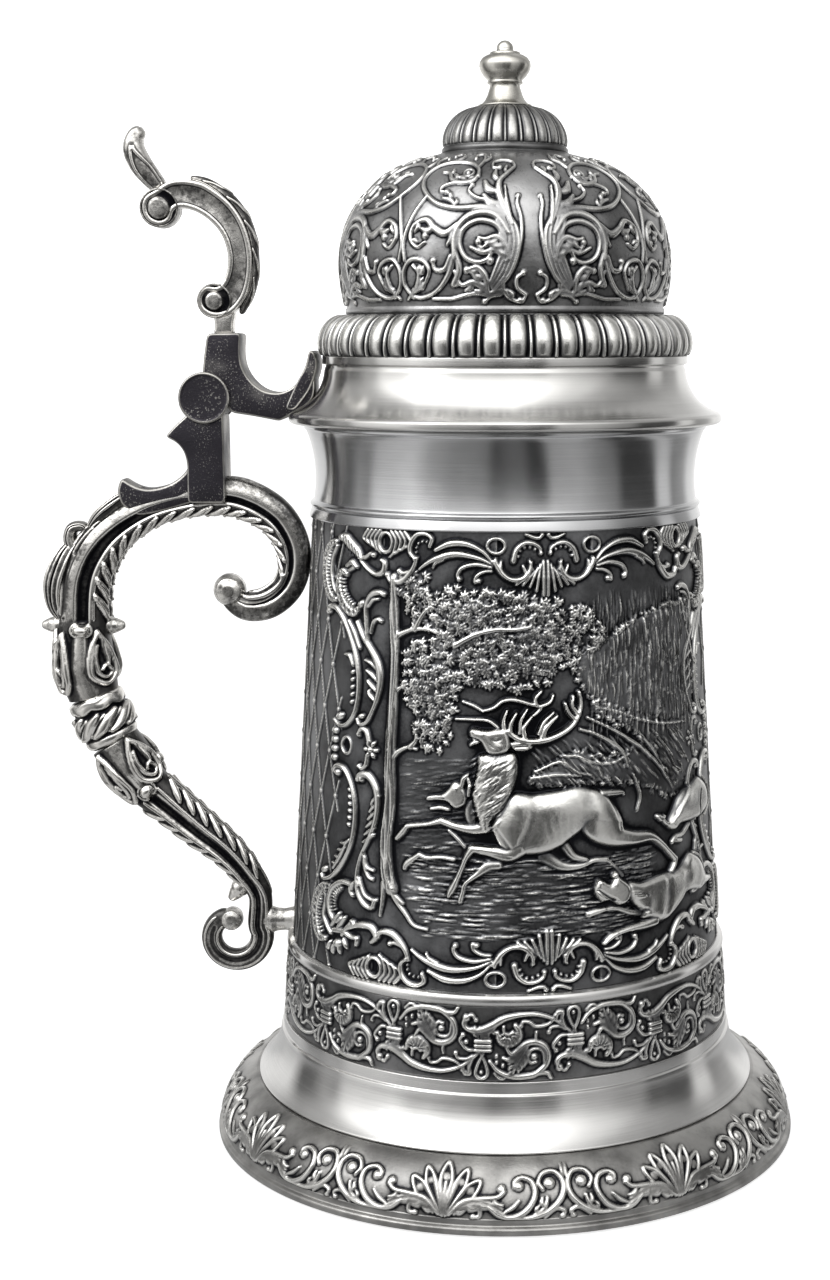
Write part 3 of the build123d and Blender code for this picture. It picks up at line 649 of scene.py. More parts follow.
def carve_frame(c):
    """One upright frame between scene and lattice, drawn in the place it has left of the scene."""
    # lower corner
    c.strand([-47,20, -49.5,19.4, -51.8,17, -53,13, -52.4,9.4, -50.4,6.6, -48,6.8], [0.7, 1.5, 1.7, 1.5, 0.7], 1.3,
             "strap")
    c.ribs([-48.6,19.2, -51,16.8, -52,13, -51.4,9.6, -49.8,7.4], [0.7, 1.3, 1.3, 0.8], 0.24, 1.35, 0.85)
    c.strand([-50,19.6, -48.4,17, -49.2,12.6, -47.6,10, -46,8.6], [0.5, 0.8, 0.7], 1)
    c.strand([-38.6,22, -42.4,22, -45.8,19.8, -47,16.4, -46,13.2, -43.6,12, -42,13.2], [0.7, 0.8, 1, 1, 0.9, 0.5], 1.25)
    c.ribs([-42.4,20.8, -44.8,18.9, -45.5,16.4, -44.8,14.2], [0.5, 0.9, 0.9, 0.6], 0.24, 1, 0.8)
    c.strand([-38.4,22.4, -39.2,20.6, -38.4,19.4], [0.6, 0.9, 0.5], 1.2)
    c.scroll([-38.6,22.4, -37,23.2, -36.6,22.6], [0.6, 0.5, 0.4], 1.1)
    for x, y in ((-43.9, 13.8), (-41.9, 13.2), (-40, 12.2)):
        c.strand([(x - 1.6, y - 3.2), (x - 0.2, y - 1.4), (x + 1.1, y + 0.3)], [0.5, 0.85, 0.5], 1.15)
    c.oval((-43.2, 6.6), (1.6, 1.2), 10, 1.4)
    for x, y, turn in ((-46.5, 5.4, 60), (-44.8, 5, 75), (-42.5, 5.6, 95), (-40.6, 7.2, 120)):
        c.oval((x, y), (1.7, 0.7), turn, 1.15)
    c.strand([-44.6,9.6, -41.4,10, -38.4,9.2, -36.6,9.2, -36.8,7.6], [0.8, 0.95, 0.7, 0.5], 1.2)
    c.strand([-41,10.4, -37.4,12.2, -34.6,12.9, -32.2,12.6, -31,10.6, -32.2,9.2], [0.5, 0.7, 1, 1, 0.6], 1.2)
    c.strand([-39.2,11.6, -37.8,12.8, -38.6,13.2], [0.5, 0.7, 0.5], 1.1)
    # lower right strand with its leaf
    c.strand([-31.8,19, -32.6,17.5, -35,18.2, -36.9,20.8, -37.3,25, -36.2,29.6, -34,34, -32.2,38.6, -31.7,43,
             -32.5,46.8, -34.8,49.2, -37.4,49.1, -38.1,47.8], [0.5, 0.9, 0.7, 0.5, 0.5, 0.55, 0.65, 0.85, 1, 1.05, 0.7],
             1.15)
    c.ball((-37, 48.2), 0.95, 1.2)
    c.strand([-35.4,30.4, -35.1,27.4, -33.9,25, -32.6,24.4], [0.4, 0.6, 0.5], 0.9)
    c.strand([-35,29.6, -34.4,27.2, -32.4,26.6], [0.3, 0.55, 0.4], 0.9)
    c.strand([-36.6,24, -35,20.6, -33,19.6, -31.2,19.6], [0.4, 0.6, 0.5], 0.95)
    for n in range(6):
        y = 33 + 1.9 * n
        x = -33.6 + 0.26 * n
        c.strand([(x + 1, y + 2.2), (x - 0.6, y + 1), (x - 2.2 + 0.2 * n, y)], [0.5, 0.62, 0.35], 1.05)
    # lower left strand
    c.strand([-50.8,22.2, -49.6,21.3, -46.4,22.6, -43,26, -40.2,30.6, -38.8,36, -38.8,41.6, -40.3,46.4, -43,49.6,
             -46,50, -47.2,48.6], [0.5, 0.7, 0.7, 0.6, 0.6, 0.65, 0.6, 0.6, 0.75, 0.7], 1.15)
    c.oval((-49.6, 23.6), (1.5, 0.85), 30, 1.2)
    c.oval((-45.7, 48.4), (1.25, 0.95), 10, 1.2)
    for n in range(6):
        c.oval((-40.7 - 0.1 * abs(n - 2), 36.4 + 1.7 * n), (0.85, 0.55), -25, 0.8)
    c.strand([-46.2,24.6, -43.4,28.4, -41.6,31.6], [0.4, 0.8, 0.4], 0.8)
    for n in range(4):
        c.strand([(-40.4 - 1.2 * n, 32.8 - 2 * n), (-42 - 1.1 * n, 31.6 - 1.9 * n), (-43.6 - 1 * n, 31.4 - 1.8 * n)],
                 [0.3, 0.5, 0.3], 0.75)
    # middle: eye, flower and bell drops
    c.ring((-43, 55.4), (1.8, 2), 0.4, 0.5)
    c.pit((-43, 55.4), (1.5, 1.7), 0.6)
    for y in (51.8, 54, 56.2, 58.4):
        c.oval((-47.6, y), (1.4, 0.95), 0, 0.95)
    for turn in range(0, 360, 60):
        c.oval((-34.2 + 1.5 * math.cos(math.radians(turn)), 55.6 + 1.5 * math.sin(math.radians(turn))), (1, 0.6), turn,
               1.15)
    c.ball((-34.2, 55.6), 0.8, 1.4)
    c.scroll([-34.8,57.4, -35.8,59.8, -37.6,60.1, -38.2,58.8], [0.8, 0.8, 0.5], 1.1)
    c.scroll([-35.2,54, -35.6,51.8, -36.9,50.6, -37.8,51.2], [0.7, 0.6, 0.42], 1.1)
    # upper left strand
    c.strand([-52.8,86.9, -51.8,88.2, -48.6,88, -44.8,85.2, -41.6,80.6, -39.4,75, -38.8,69.4, -39.8,64.2, -42.2,61,
             -45.2,60, -47.8,61.2], [0.8, 0.9, 0.8, 0.8, 0.75, 0.65, 0.6, 0.6, 0.65, 0.5], 1.15)
    c.oval((-52.3, 87.2), (1.2, 0.9), 0, 1.25)
    c.oval((-45.6, 62.2), (1.7, 1), 20, 1.2)
    c.strand([-44.4,77.4, -42.6,77.2, -41.2,75], [0.35, 0.65, 0.4], 0.95)
    for n in range(5):
        c.oval((-41.4, 66.2 + 1.8 * n), (0.85, 0.55), 25, 0.8)
    # upper right strand
    c.strand([-40,85.6, -37.8,82.4, -35.4,79.8, -33.2,77, -32,73.4, -32.4,69, -34,65, -35.8,62, -38,61.2, -38.9,62.4],
             [0.6, 0.8, 0.9, 1.2, 1.1, 0.7, 0.55, 0.6, 0.5], 1.15)
    c.oval((-37.6, 63.2), (1.1, 0.7), 10, 1.2)
    for n in range(4):
        c.strand([(-32.8 - 0.2 * n, 75 - 2.5 * n), (-34.8 - 0.1 * n, 76.2 - 2.5 * n),
                 (-36.8 + 0.5 * n, 76.8 - 2.4 * n)], [0.6, 0.7, 0.4], 1.1)
    c.strand([-43.4,85.6, -41.2,83, -39,79.4], [0.5, 0.8, 0.5], 0.9)
    c.strand([-36.2,80.6, -36.8,85, -37.2,89.4, -35.6,92.4, -33.2,93.2, -31.6,92.8], [0.5, 0.6, 0.7, 0.9, 0.7], 1.1)
    c.strand([-36.4,89.6, -35,91.2, -33.2,91.6], [0.4, 0.5, 0.3], 0.9)
    c.strand([-35.4,83.4, -34.6,86, -33.2,86.8, -32.2,86.4], [0.4, 0.6, 0.5], 0.95)
    # upper corner
    c.strand([-50,104, -52.4,103.2, -54.6,100.2, -55,96.4, -53.6,92.8, -51.2,90.4, -49,90.2],
             [0.7, 1.3, 1.5, 1.5, 1.3, 0.7], 1.3, "strap")
    c.ribs([-52.2,102.6, -54,99.4, -54.2,96.4, -52.8,93, -50.8,91], [0.7, 1.25, 1.3, 0.8], 0.26, 1.35, 0.9)
    c.strand([-49.6,103, -51.4,100, -51.8,96.4, -50.4,93, -48.8,91.6], [0.5, 0.7, 0.5], 1.05)
    c.strand([-44.8,96.6, -46.6,97.2, -47.8,95, -47.2,91.8, -44.8,89, -41.8,87.6, -40,88.6],
             [0.7, 0.9, 1.3, 1.4, 1.2, 0.8], 1.3, "strap")
    c.ribs([-46.6,95.6, -46.4,92.2, -44.2,90, -41.6,88.9], [0.9, 1.3, 1.2, 0.8], 0.26, 1.4, 0.9)
    c.oval((-38.8, 90), (1.5, 1), 30, 1.3)
    c.strand([-47.8,105.2, -46,105.2, -43.6,103.8, -41,102.4, -39.4,100.8], [1, 1.5, 1.5, 1.3, 0.8], 1.3)
    for n in range(6):
        c.groove([(-46.8 + 1.3 * n, 106.2 - 0.8 * n), (-46.2 + 1.3 * n, 104.6 - 0.8 * n),
                 (-47 + 1.3 * n, 103 - 0.8 * n)], 0.3, 0.5)
    c.scroll([-40,101, -37.8,101.2, -36.2,102.2, -35.2,101.9], [0.7, 0.6, 0.5], 1.1)
    c.strand([-39.4,100.2, -36.8,98.4, -34.2,97.4, -32,98.2, -31.6,100.2, -32.6,100.9], [0.5, 0.6, 0.7, 0.9, 0.5], 1.15)
    c.strand([-45,98.6, -43,99.6, -41,98.6], [0.5, 0.9, 0.5], 1.05)
    c.strand([-44,97.6, -42.4,98.4], [0.5, 0.6], 0.9)


def carve_lattice(relief, axis, half):
    """Crossed wires with a knot at every crossing, as far as half to each side of an axis."""
    wide, tall, meshes = 6.9, 109, 5.14
    c = Carver(relief, axis)
    for n in range(-9, 10):
        for hand in (1, -1):
            wire = np.linspace((n * wide, 0), (n * wide + hand * wide * meshes, tall), 60)
            keep = [p for p in wire if abs(p[0]) < half]
            if len(keep) > 3:
                c.strand(keep, 0.34, 0.4)
    for row in range(12):
        for n in range(-5, 6):
            at = ((n + 0.5 * (row % 2)) * wide, tall / meshes / 2 * row)
            if abs(at[0]) < half:
                c.ball(at, 0.75, 0.6)


def carve_stag(c):
    """The leaping stag, facing left, with its far legs behind it."""
    # far legs
    c.strand([9,32.5, 13,30, 17,29.6, 21,30.6, 24.2,30.4], [1.6, 1.3, 0.9, 0.7, 0.6], [0.8, 0.9, 0.7])
    c.strand([24,30.6, 26.4,28.4, 28.2,26], [0.5, 0.45, 0.6], 0.6)
    c.strand([14,34.6, 16,32, 19,31], [1.2, 1, 0.6], 0.9)
    c.strand([-1.6,30.6, -4,30.2, -6.4,28.2, -9,26, -9.6,24, -10.2,21.6], [1.2, 1.3, 0.8, 0.55, 0.55, 0.6],
             [1, 0.9, 0.8, 0.9])
    # hind quarter and near hind leg
    c.pillow([17,47.6, 21,47.8, 24.6,45.6, 27.4,42, 28.6,38.6, 29.6,36.6, 33,36, 37,34.8, 36.4,33.2, 31,33, 26,33.2,
             21.4,34.6, 18.6,36.8, 16.6,40], 4, 2.7)
    c.strand([26,36, 31,34.8, 36.4,34.3, 39.6,32.4, 42.6,29.6, 45,27.3], [2.4, 1.9, 1.45, 1, 0.75, 0.9],
             [2.6, 2.1, 1.6, 1.5])
    c.strand([45.2,27.4, 44.6,25.8, 43.4,24.6], [0.9, 0.8, 0.6], 1.4)
    # trunk
    c.pillow([-3.2,40.6, -1.6,43.6, 0.2,46.2, 2.4,47.8, 6.4,47.4, 12,48, 17.6,48.8, 21,47.6, 24.6,45.6, 27.4,42,
             28.6,38.4, 25,37.2, 21,37.8, 18.6,38.2, 16,36.8, 12,34.2, 8,33, 3.8,32.8, 2,31.8, -1.2,35, -2.8,38.2], 6.2,
             3.3)
    # neck
    c.pillow([-6,56.6, -2,57, 2.2,57.2, 3.2,54, 2.6,50, 1.6,47.4, 0.4,44.2, -2.6,41.4, -3.6,38.2, -5.4,38.6, -6.6,42.6,
             -7.6,46.4, -7,50, -6.4,53.4], 3.6, 2.8)
    # shoulder, ribs and haunch
    c.mound((1, 40.4), (4.8, 7.4), -12, 0.7)
    c.mound((3.4, 45.2), (3, 2.8), 30, 0.35)
    c.mound((22.6, 41.4), (4.8, 6.4), 25, 0.65)
    c.mound((11, 43.8), (5.6, 3), 0, 0.3)
    c.groove([6.4,47, 6.6,43.6, 5.4,39.4, 3.8,36.5, 1.8,32.4], 1.6, 0.24)
    c.groove([-2.4,39.8, -0.4,37.2, 1.2,34.4], 0.6, 0.25)
    c.groove([18.4,47.2, 19.6,43, 18.4,38.8], 2.4, 0.3)
    c.groove([25.4,44.4, 27,40.4, 27.4,37.6], 0.6, 0.25)
    for n in range(4):
        c.groove([(9 + 1.9 * n, 42), (9.4 + 1.9 * n, 39.4), (10.4 + 1.9 * n, 36.6)], 0.9, 0.05)
    # tail
    c.strand([23,46.4, 26,46.2, 28.8,46, 29.4,45.4], [1, 0.9, 0.75, 0.3], [1.6, 1.2, 0.8])
    # near foreleg
    c.strand([3,34.6, 0.6,33.2, -3.4,33.9, -7.4,34.4], [2.2, 1.75, 1.3, 1.1], [2.7, 2.2, 1.8, 1.7])
    c.strand([-7.4,34.4, -8.8,32.2, -10,29.2, -11,26.8], [1.1, 0.75, 0.62, 0.66], [1.7, 1.4, 1.4])
    c.strand([-11,26.8, -11.7,25.2, -12.4,23.8, -12.7,22.9], [0.7, 0.9, 0.95, 0.6], 1.5)
    c.groove([1.4,32.6, -2.4,33.2, -5.6,33.8], 0.35, 0.3)
    # far foreleg
    c.strand([-4.4,39.4, -8,39, -11.6,39.6, -14.8,40.6], [1.6, 1.25, 0.9, 0.95], [1.6, 1.4, 1.4])
    c.strand([-14.8,40.6, -18,39.6, -21.4,39, -23.2,38.6], [0.95, 0.6, 0.6, 0.7], 1.3)
    c.strand([-23.2,38.6, -24.6,36.8, -25.8,35.4], [0.7, 0.9, 0.7], 1.35)
    # head
    c.pillow([-8,62.6, -7.6,63, -4.4,62.5, -1.6,62.9, 0.2,62.8, 1.2,61, 1.4,58.4, -0.2,56.8, -2.8,56.4, -4.6,57.6,
             -5.8,59.6, -7.6,60, -8.4,61.2], 1.5, 2.3)
    c.strand([-5.8,59.9, -7.2,59.4, -7.9,58.9], [0.6, 0.7, 0.5], 1.9)
    c.groove([-8.4,60.5, -6.8,60.5, -5.6,59.6], 0.34, 0.9)
    c.oval((-7.5, 62), (0.85, 0.75), 0, 2.4)
    c.oval((-1.8, 60.6), (0.85, 0.5), -20, 2.6)
    c.groove([-2.8,60.2, -1.8,60.1, -0.8,60.5], 0.24, 0.5)
    c.groove([-4.8,61.2, -3.4,59.2, -1.6,58], 0.45, 0.3)
    c.mound((-1.6, 58.4), (1.8, 1.5), 0, 0.4)
    # ear
    c.pillow([1,59.6, 3,60, 5.4,59.4, 6.6,58.4, 4.6,57.4, 2.2,57.6], 0.9, 2.1)
    c.groove([2.2,58.6, 4.4,58.7, 5.8,58.4], 0.45, 0.7)
    # antlers: near beam and its points
    c.strand([0.6,62.2, 2.6,60.6, 5.4,59.8, 9,59.9, 12.4,61, 15.4,62.8, 17.2,65.2, 18,68, 17.6,71],
             [0.75, 0.8, 0.85, 0.85, 0.8, 0.75, 0.65, 0.55, 0.35], 2.2)
    c.strand([1.2,61.8, 1.4,64, 2.6,66.4], [0.75, 0.6, 0.35], 2.1)
    c.strand([-0.2,62.4, -0.3,64.8, 0.5,67], [0.65, 0.5, 0.3], 1.9)
    c.strand([4.6,60.6, 4.4,63, 6.2,65.6], [0.75, 0.6, 0.35], 2)
    c.strand([3.4,61.8, 3.6,64.6, 5.2,67.3], [0.6, 0.5, 0.3], 1.8)
    c.strand([8.6,60.6, 9.6,63, 12.2,65.6], [0.9, 0.75, 0.4], 2)
    c.strand([7.8,61.6, 9,64.2, 11.4,66.4], [0.6, 0.5, 0.3], 1.8)
    c.strand([16.4,64.6, 14.9,66.4, 14.2,68.4], [0.6, 0.5, 0.3], 1.9)
    c.strand([17,66, 15.9,67.8, 16.2,70], [0.5, 0.45, 0.3], 1.9)
    # far beam, thin against the leaves
    c.strand([-1.4,62.8, -4,64.6, -8,64.8, -11.6,64.8], [0.5, 0.42, 0.38, 0.3], 1.1)
    c.strand([-5.2,66.8, -2.6,67.6, -0.4,69.2, 2.4,69.4, 6,68.4, 8.4,67.6, 6.8,65.8], [0.34, 0.5, 0.55, 0.5, 0.45], 1.2)
    c.strand([-10,68.9, -7.4,68, -5.2,66.8], [0.28, 0.38, 0.34], 0.9)
    c.strand([7.4,68, 7.2,69.8, 8.6,71.4], [0.5, 0.5, 0.35], 1.4)
    c.strand([8.2,67.8, 10.6,68.8, 11.4,70.4], [0.5, 0.5, 0.35], 1.4)


def carve_mane(c, rng):
    """Rough hair on the stag's neck and chest."""
    for _ in range(460):
        t = rng.random()
        x = -6.6 + 9.2 * rng.random() - 1 * t
        y = 56.6 - 17 * t
        limit = 3 - 4.6 * t ** 1.4
        if x > limit or x < -7.4 + 3.4 * t ** 3:
            continue
        lean = -0.5 - 0.5 * rng.random()
        length = 1.6 + 1.6 * rng.random()
        c.strand([(x, y), (x + lean * 0.5 - 0.2, y - length * 0.3), (x + lean * 1.3 - 0.8, y - length * 0.62)],
                 [0.14, 0.2, 0.1], 0.34, "soft", True)


def carve_doe(c):
    """The second deer behind the stag's chest: head and stretched forelegs."""
    c.pillow([-9.4,44.4, -11.6,43.6, -13.6,45.2, -16.2,45.4, -18.6,45.2, -18.2,46.2, -15,46.9, -13.4,48.2, -12,50,
             -10,49.6, -8.8,47.6, -8.6,45.8], 1.2, 1.3)
    c.strand([-10,49.2, -9.6,50.8, -8.6,51.8], [0.7, 0.75, 0.4], 1.4)
    c.strand([-8.4,47, -8.2,49.4, -8.6,51], [0.5, 0.7, 0.4], 1.2)
    c.oval((-11.4, 48.4), (0.75, 0.6), 0, 1.7)
    c.groove([-18.2,45.6, -16,46, -14,46], 0.25, 0.5)
    c.strand([-17.4,43.3, -15,43.7, -13.2,43.4], [0.4, 0.55, 0.5], 1)
    c.pillow([-9,45, -7.2,46, -6.4,42, -6.8,39, -8.4,39.8, -9.4,42.4], 1.2, 1)
    c.strand([-11.8,31.6, -15,31.9, -18,31.5, -20.2,32], [0.55, 0.5, 0.5, 0.65], 0.85)
    c.strand([-20.2,32, -22,30.6, -23.4,29.4, -23.8,28.4], [0.65, 0.7, 0.9, 0.6], 0.95)
    c.strand([-13,38.4, -11,36.6, -9.2,34.6], [0.4, 0.5, 0.4], 0.6)


def carve_hound(c):
    """The leaping hound under the stag's hind legs."""
    # far legs
    c.strand([36,16, 30.6,16.8, 26.4,18.4, 23,18.6], [1.2, 0.9, 0.7, 0.6], 0.8)
    c.strand([23.4,18.6, 21,18.2, 19.4,17.8], [0.6, 0.85, 0.9], 0.95)
    c.strand([52,26, 56,26.6, 60,27.4], [0.9, 0.6, 0.4], 0.8)
    # trunk
    c.pillow([33,15, 35.4,14.2, 38.6,12.9, 42,13.4, 46,15.6, 50,17.9, 54,17.2, 58,17.2, 60.4,18.6, 59,21, 57.4,23.6,
             54.6,26.4, 51.4,27.4, 49,26.2, 46,24.6, 41.6,24.6, 37.6,24.4, 34,23.6, 32,21, 33.4,18], 3.2, 2.1)
    c.mound((38, 18), (3.6, 4.8), -10, 0.5)
    c.mound((53.6, 22), (4.6, 4), 30, 0.5)
    c.groove([41.4,23.6, 41.6,18.6, 39.6,14], 1.5, 0.2)
    c.groove([48.6,25, 49,21.6, 48.4,18.6], 1.9, 0.25)
    # hind leg
    c.strand([56,18.8, 60,18.6, 64,18], [1.9, 1.3, 0.8], [1.8, 1.4, 1])
    c.strand([53.2,27, 56.2,25.2, 58,22.4, 58.8,20], [0.5, 0.6, 0.6, 0.5], 1.5)
    # neck and head
    c.pillow([30,19.8, 33,16.6, 36.6,17, 38,20, 36.6,23.6, 32.8,23.8, 29.6,24.4, 28,22], 2, 2)
    c.pillow([20.6,24, 21.6,26.2, 23.4,25.4, 24.6,24.8, 26.2,26.6, 27.6,25.6, 29.6,23.8, 30,21.6, 28.8,19.6, 26.6,19.2,
             24.6,20.6, 22.4,20.6, 21,22], 1.3, 2.3)
    c.oval((22, 25.2), (0.9, 0.7), 40, 2.4)
    c.oval((25.6, 24.4), (0.65, 0.5), 0, 2.7)
    c.groove([21.4,23.6, 23.4,22, 25.6,20.6], 0.5, 0.9)
    c.oval((25.9, 26.6), (1, 0.8), 60, 2.2)
    c.pillow([29.4,22.4, 32,22.4, 34.8,21, 35.2,20.2, 33,19.8, 30.6,20.2], 0.8, 2.5)
    c.groove([30.6,21.4, 33,21, 34.6,20.5], 0.4, 0.6)
    for n in range(6):
        c.groove([(29.2 + 1.1 * n, 19.4 - 0.5 * n), (30.4 + 1 * n, 18.2 - 0.4 * n)], 0.3, 0.3)
    # near foreleg
    c.strand([37,13.6, 33.6,13.2, 29.6,13, 26,12.4], [1.4, 1.15, 0.85, 0.7], [1.9, 1.6, 1.3])
    c.strand([26.2,12.4, 24.4,11.6, 22.9,10.4], [0.75, 0.85, 0.5], 1.4)


def carve_far_hound(c):
    """The shaggy hound that follows, nearly turned away at the panel's edge."""
    c.pillow([42.6,36.4, 45,39.4, 47.6,42.6, 50.4,44, 54,44.6, 58,45.2, 62,43, 63.6,39.6, 62.4,36.4, 58,35, 53,35,
             48,35.2, 45.6,34.2, 43.2,35], 2.8, 1.9)
    for n in range(26):
        x, y = 44.6 + 0.5 * (n % 13) + 1.2 * (n // 13), 37.2 + 0.42 * (n % 13) + 1.6 * (n // 13)
        c.strand([(x + 0.9, y + 0.9), (x, y), (x - 0.6, y - 1.1)], [0.3, 0.4, 0.2], 0.4, "soft", True)
    c.mound((52.4, 41), (3.6, 3), 0, 0.4)
    c.groove([57.6,42, 56.6,38.6, 57.4,36], 0.6, 0.4)
    c.strand([44,36, 42.2,36.6, 40.8,38.2, 39.4,38.6], [0.8, 0.6, 0.5, 0.6], 1.2)
    c.strand([39.6,38.4, 40.6,37.6, 41.8,38.4], [0.45, 0.5, 0.35], 1.2)
    c.strand([52,34.4, 49,32.6, 46,32.4, 44.6,31.4], [0.8, 0.7, 0.6, 0.7], 0.9)
    c.strand([46,31.6, 48.2,31.2], [0.6, 0.7], 0.9)
    c.strand([60,44.6, 62.8,42.4, 63.6,39, 62.4,36.6, 59.6,35], [0.5, 0.6, 0.6, 0.6, 0.5], 1.7)


def carve_tree(c, rng):
    """The oak beside the scene: twisted trunk, roots, boughs and leaves."""
    trunk = [(-28.6, 97), (-28.2, 88), (-27.6, 78), (-28, 66), (-28.4, 54), (-28.2, 44), (-28.8, 34), (-28.4, 27),
        (-27.2, 23)]
    c.strand(trunk, [1.2, 1.2, 1.3, 1.4, 1.5, 1.6, 1.7, 1.9], [1, 1.1, 1.2])
    for k, shift in enumerate((-1.1, -0.5, 0.1, 0.7, 1.2)):
        wavy = [(x + shift + 0.35 * math.sin(y * 0.45 + k * 1.9), y) for x, y in trunk]
        c.strand(wavy, [0.3, 0.42, 0.34], 0.42, "soft", True)
    for root in ([-28,25, -26.2,21, -23.4,17.6, -21.2,15, -18,14.3], [-28.6,25, -26.6,22.2, -24,19.8],
                 [-29.2,24, -29.6,19.6, -30.2,16]):
        c.strand(root, [1, 0.7, 0.55, 0.4], [1.2, 0.9, 0.7])
    for bough in ([-27.6,83, -25.6,84.2, -22.6,85.2, -19,85.4, -16.4,84.6], [-22.4,85.2, -20.4,88.6, -18.4,90.6],
        [-28,54, -26.2,56, -23.4,57.4, -21.4,57], [-23,57.4, -21.6,59, -21.4,60.6], [-27.4,70, -26,71.2, -25,71.6],
        [-12,82, -7,84.6, -2,85.8, 2,85.8, 6,86.4]):
        c.strand(bough, [0.85, 0.6, 0.4], [1.1, 0.9])
    crowns = (((-2, 85), (17, 9.5), 0), ((12, 84), (13, 8.5), -5), ((-17, 76), (9, 8), 20), ((-17, 64), (5.2, 7.5), 0),
        ((-23, 95), (5, 4), 0), ((-12, 90), (13, 5), 10), ((-20, 71), (7, 4), 0), ((2, 76), (12, 4.6), 5))
    for at, radii, turn in crowns:
        c.mound(at, (radii[0] * 1.25, radii[1] * 1.25), turn, 0.4)
    for at, radii, turn in crowns:
        a = math.radians(turn)
        for _ in range(int(radii[0] * radii[1] * 2.1)):
            r, w = rng.random() ** 0.6, rng.random() * math.tau
            x, y = radii[0] * r * math.cos(w), radii[1] * r * math.sin(w)
            x, y = at[0] + x * math.cos(a) - y * math.sin(a), at[1] + x * math.sin(a) + y * math.cos(a)
            c.sprig((x, y), 0.95 + 0.45 * rng.random(), 360 * rng.random(), 0.55 + 0.75 * rng.random())


def carve_ground(c, rng):
    """Water and grass under the animals, rocks and fir slopes behind them."""
    for _ in range(520):
        y = 12.5 + 19.5 * rng.random()
        x = -25 + 60 * rng.random()
        if x < -26 + 0.45 * (26 - y):
            continue
        long = 1.6 + 4.8 * rng.random()
        sway = 0.5 * (rng.random() - 0.5)
        ripple = [(x, y), (x + long / 2, y + sway), (x + long, y + 0.3 * sway)]
        c.strand(ripple, [0.1, 0.3, 0.1], 0.24 + 0.3 * rng.random(), "soft", True)
    for _ in range(150):
        x, y = -26 + 16 * rng.random(), 33 + 22 * rng.random()
        c.strand([(x, y), (x + 1.6, y + 0.3 * rng.random()), (x + 3.4, y + 0.4)], [0.1, 0.26, 0.1], 0.2, "soft", True)
    # rock slopes, each a plane that leans into the next
    slopes = (([12,50, 18,51.4, 26,53.6, 34,56.6, 44,60, 56,60, 56,44, 44,43.6, 34,47.6, 24,49], 0.35),
              ([22,66.5, 30,62, 38,56, 44,48.4, 48,45, 56,50, 56,62, 44,62, 32,66], 0.6),
              ([6,50.4, 13,54.6, 18,56.6, 24,55, 31,54.6, 26,50, 16,49], 0.5),
              ([18,78, 24,82, 36,87, 48,89, 56,88, 57,74, 56,63, 46,61, 34,64, 24,68, 19,72], 0.7))
    for outline, high in slopes:
        c.pillow(outline, 2.2, high)
        edge, _ = smooth(pairs(outline), 0.8, closed=True)
        for x, y in edge:
            at = (x + rng.random() - 0.5, y + 1.4 * (rng.random() - 0.5))
            c.sprig(at, 0.5 + 0.6 * rng.random(), 360 * rng.random(), high * 0.6 + 0.5 * rng.random())
    rocks = ([20,64.6, 26,61.6, 32,58, 38,53.4, 43,48, 45.6,44.6], [14,56, 17.4,55.6, 21,54, 26,53.4, 31,55],
             [7,52.6, 13,54.6, 17,52, 20.6,51], [6,51, 12,51.6, 18,51], [22,67, 28,65.4, 34,63, 42,61, 52,60],
             [18,62, 22,60.6, 28,57, 31,53], [26,58.6, 29,55.6, 30.6,52], [32,50, 34,45, 33,41],
             [34,60, 38,55.6, 42,50], [38,60.4, 43,55, 47,49], [44,60, 49,54.6, 53,49.6])
    for line in rocks:
        c.strand(line, [0.4, 0.8, 0.4], 1.15, "keel")
    # water falling over them
    for _ in range(620):
        x, y = 20 + 36 * rng.random(), 62 + 32 * rng.random()
        fall = 2 + 4 * rng.random()
        lean = 0.9 * (rng.random() - 0.5)
        stream = [(x, y), (x + lean * 0.4, y - fall / 2), (x + lean, y - fall)]
        c.strand(stream, [0.12, 0.32, 0.12], 0.12 + 0.26 * rng.random(), "soft", True)
    for _ in range(260):
        x, y = 6 + 44 * rng.random(), 49 + 11 * rng.random()
        c.strand([(x, y), (x + 0.9, y - 0.8), (x + 2, y - 2)], [0.12, 0.34, 0.12], 0.2 + 0.2 * rng.random(), "soft",
                 True)
    for _ in range(110):
        x, y = 22 + 28 * rng.random(), 63 + 18 * rng.random()
        c.sprig((x, y), 0.7, 360 * rng.random(), 1.1)
    c.strand([52.4,90, 54,84, 56.2,79, 58,74.6, 60,72], [0.5, 0.8, 0.6], 1)


def carve_scene(relief, u, flip, seed):
    """The hunting scene in its frame, with u at the stag's shoulder; flip -1 turns it round."""
    rng = np.random.default_rng(seed)
    c = Carver(relief, u, 0, flip)
    carve_ground(c, rng)
    carve_tree(c, rng)
    carve_doe(c)
    carve_far_hound(c)
    carve_hound(c)
    carve_stag(c)
    carve_mane(c, rng)
    for side in (1, -1):
        for s, up in ((0, 1), (relief.tall, -1)):
            carve_border_half(Carver(relief, u + flip * PANEL_AXIS, s, side * flip, up))
    carve_frame(c)
    carve_frame(Carver(relief, u + flip * 2 * PANEL_AXIS, 0, -flip))


def carve_drum(relief, handle):
    """Two scenes back to back, parted by a lattice behind the handle and a narrow pillar opposite."""
    carve_lattice(relief, handle, 36)
    carve_lattice(relief, handle + relief.around / 2, 13)
    carve_scene(relief, handle + relief.around / 4, 1, 3)
    carve_scene(relief, handle - relief.around / 4, -1, 8)


# ---- Turned and embossed pieces -----------------------------------------------------------------------------------

def of_wall(points, reach=0.14):
    """An empty relief for a wall given by its (r, z) path."""
    p = np.array(points, float)
    return Relief(math.tau * p[:, 0].mean(), length_of(p), reach)


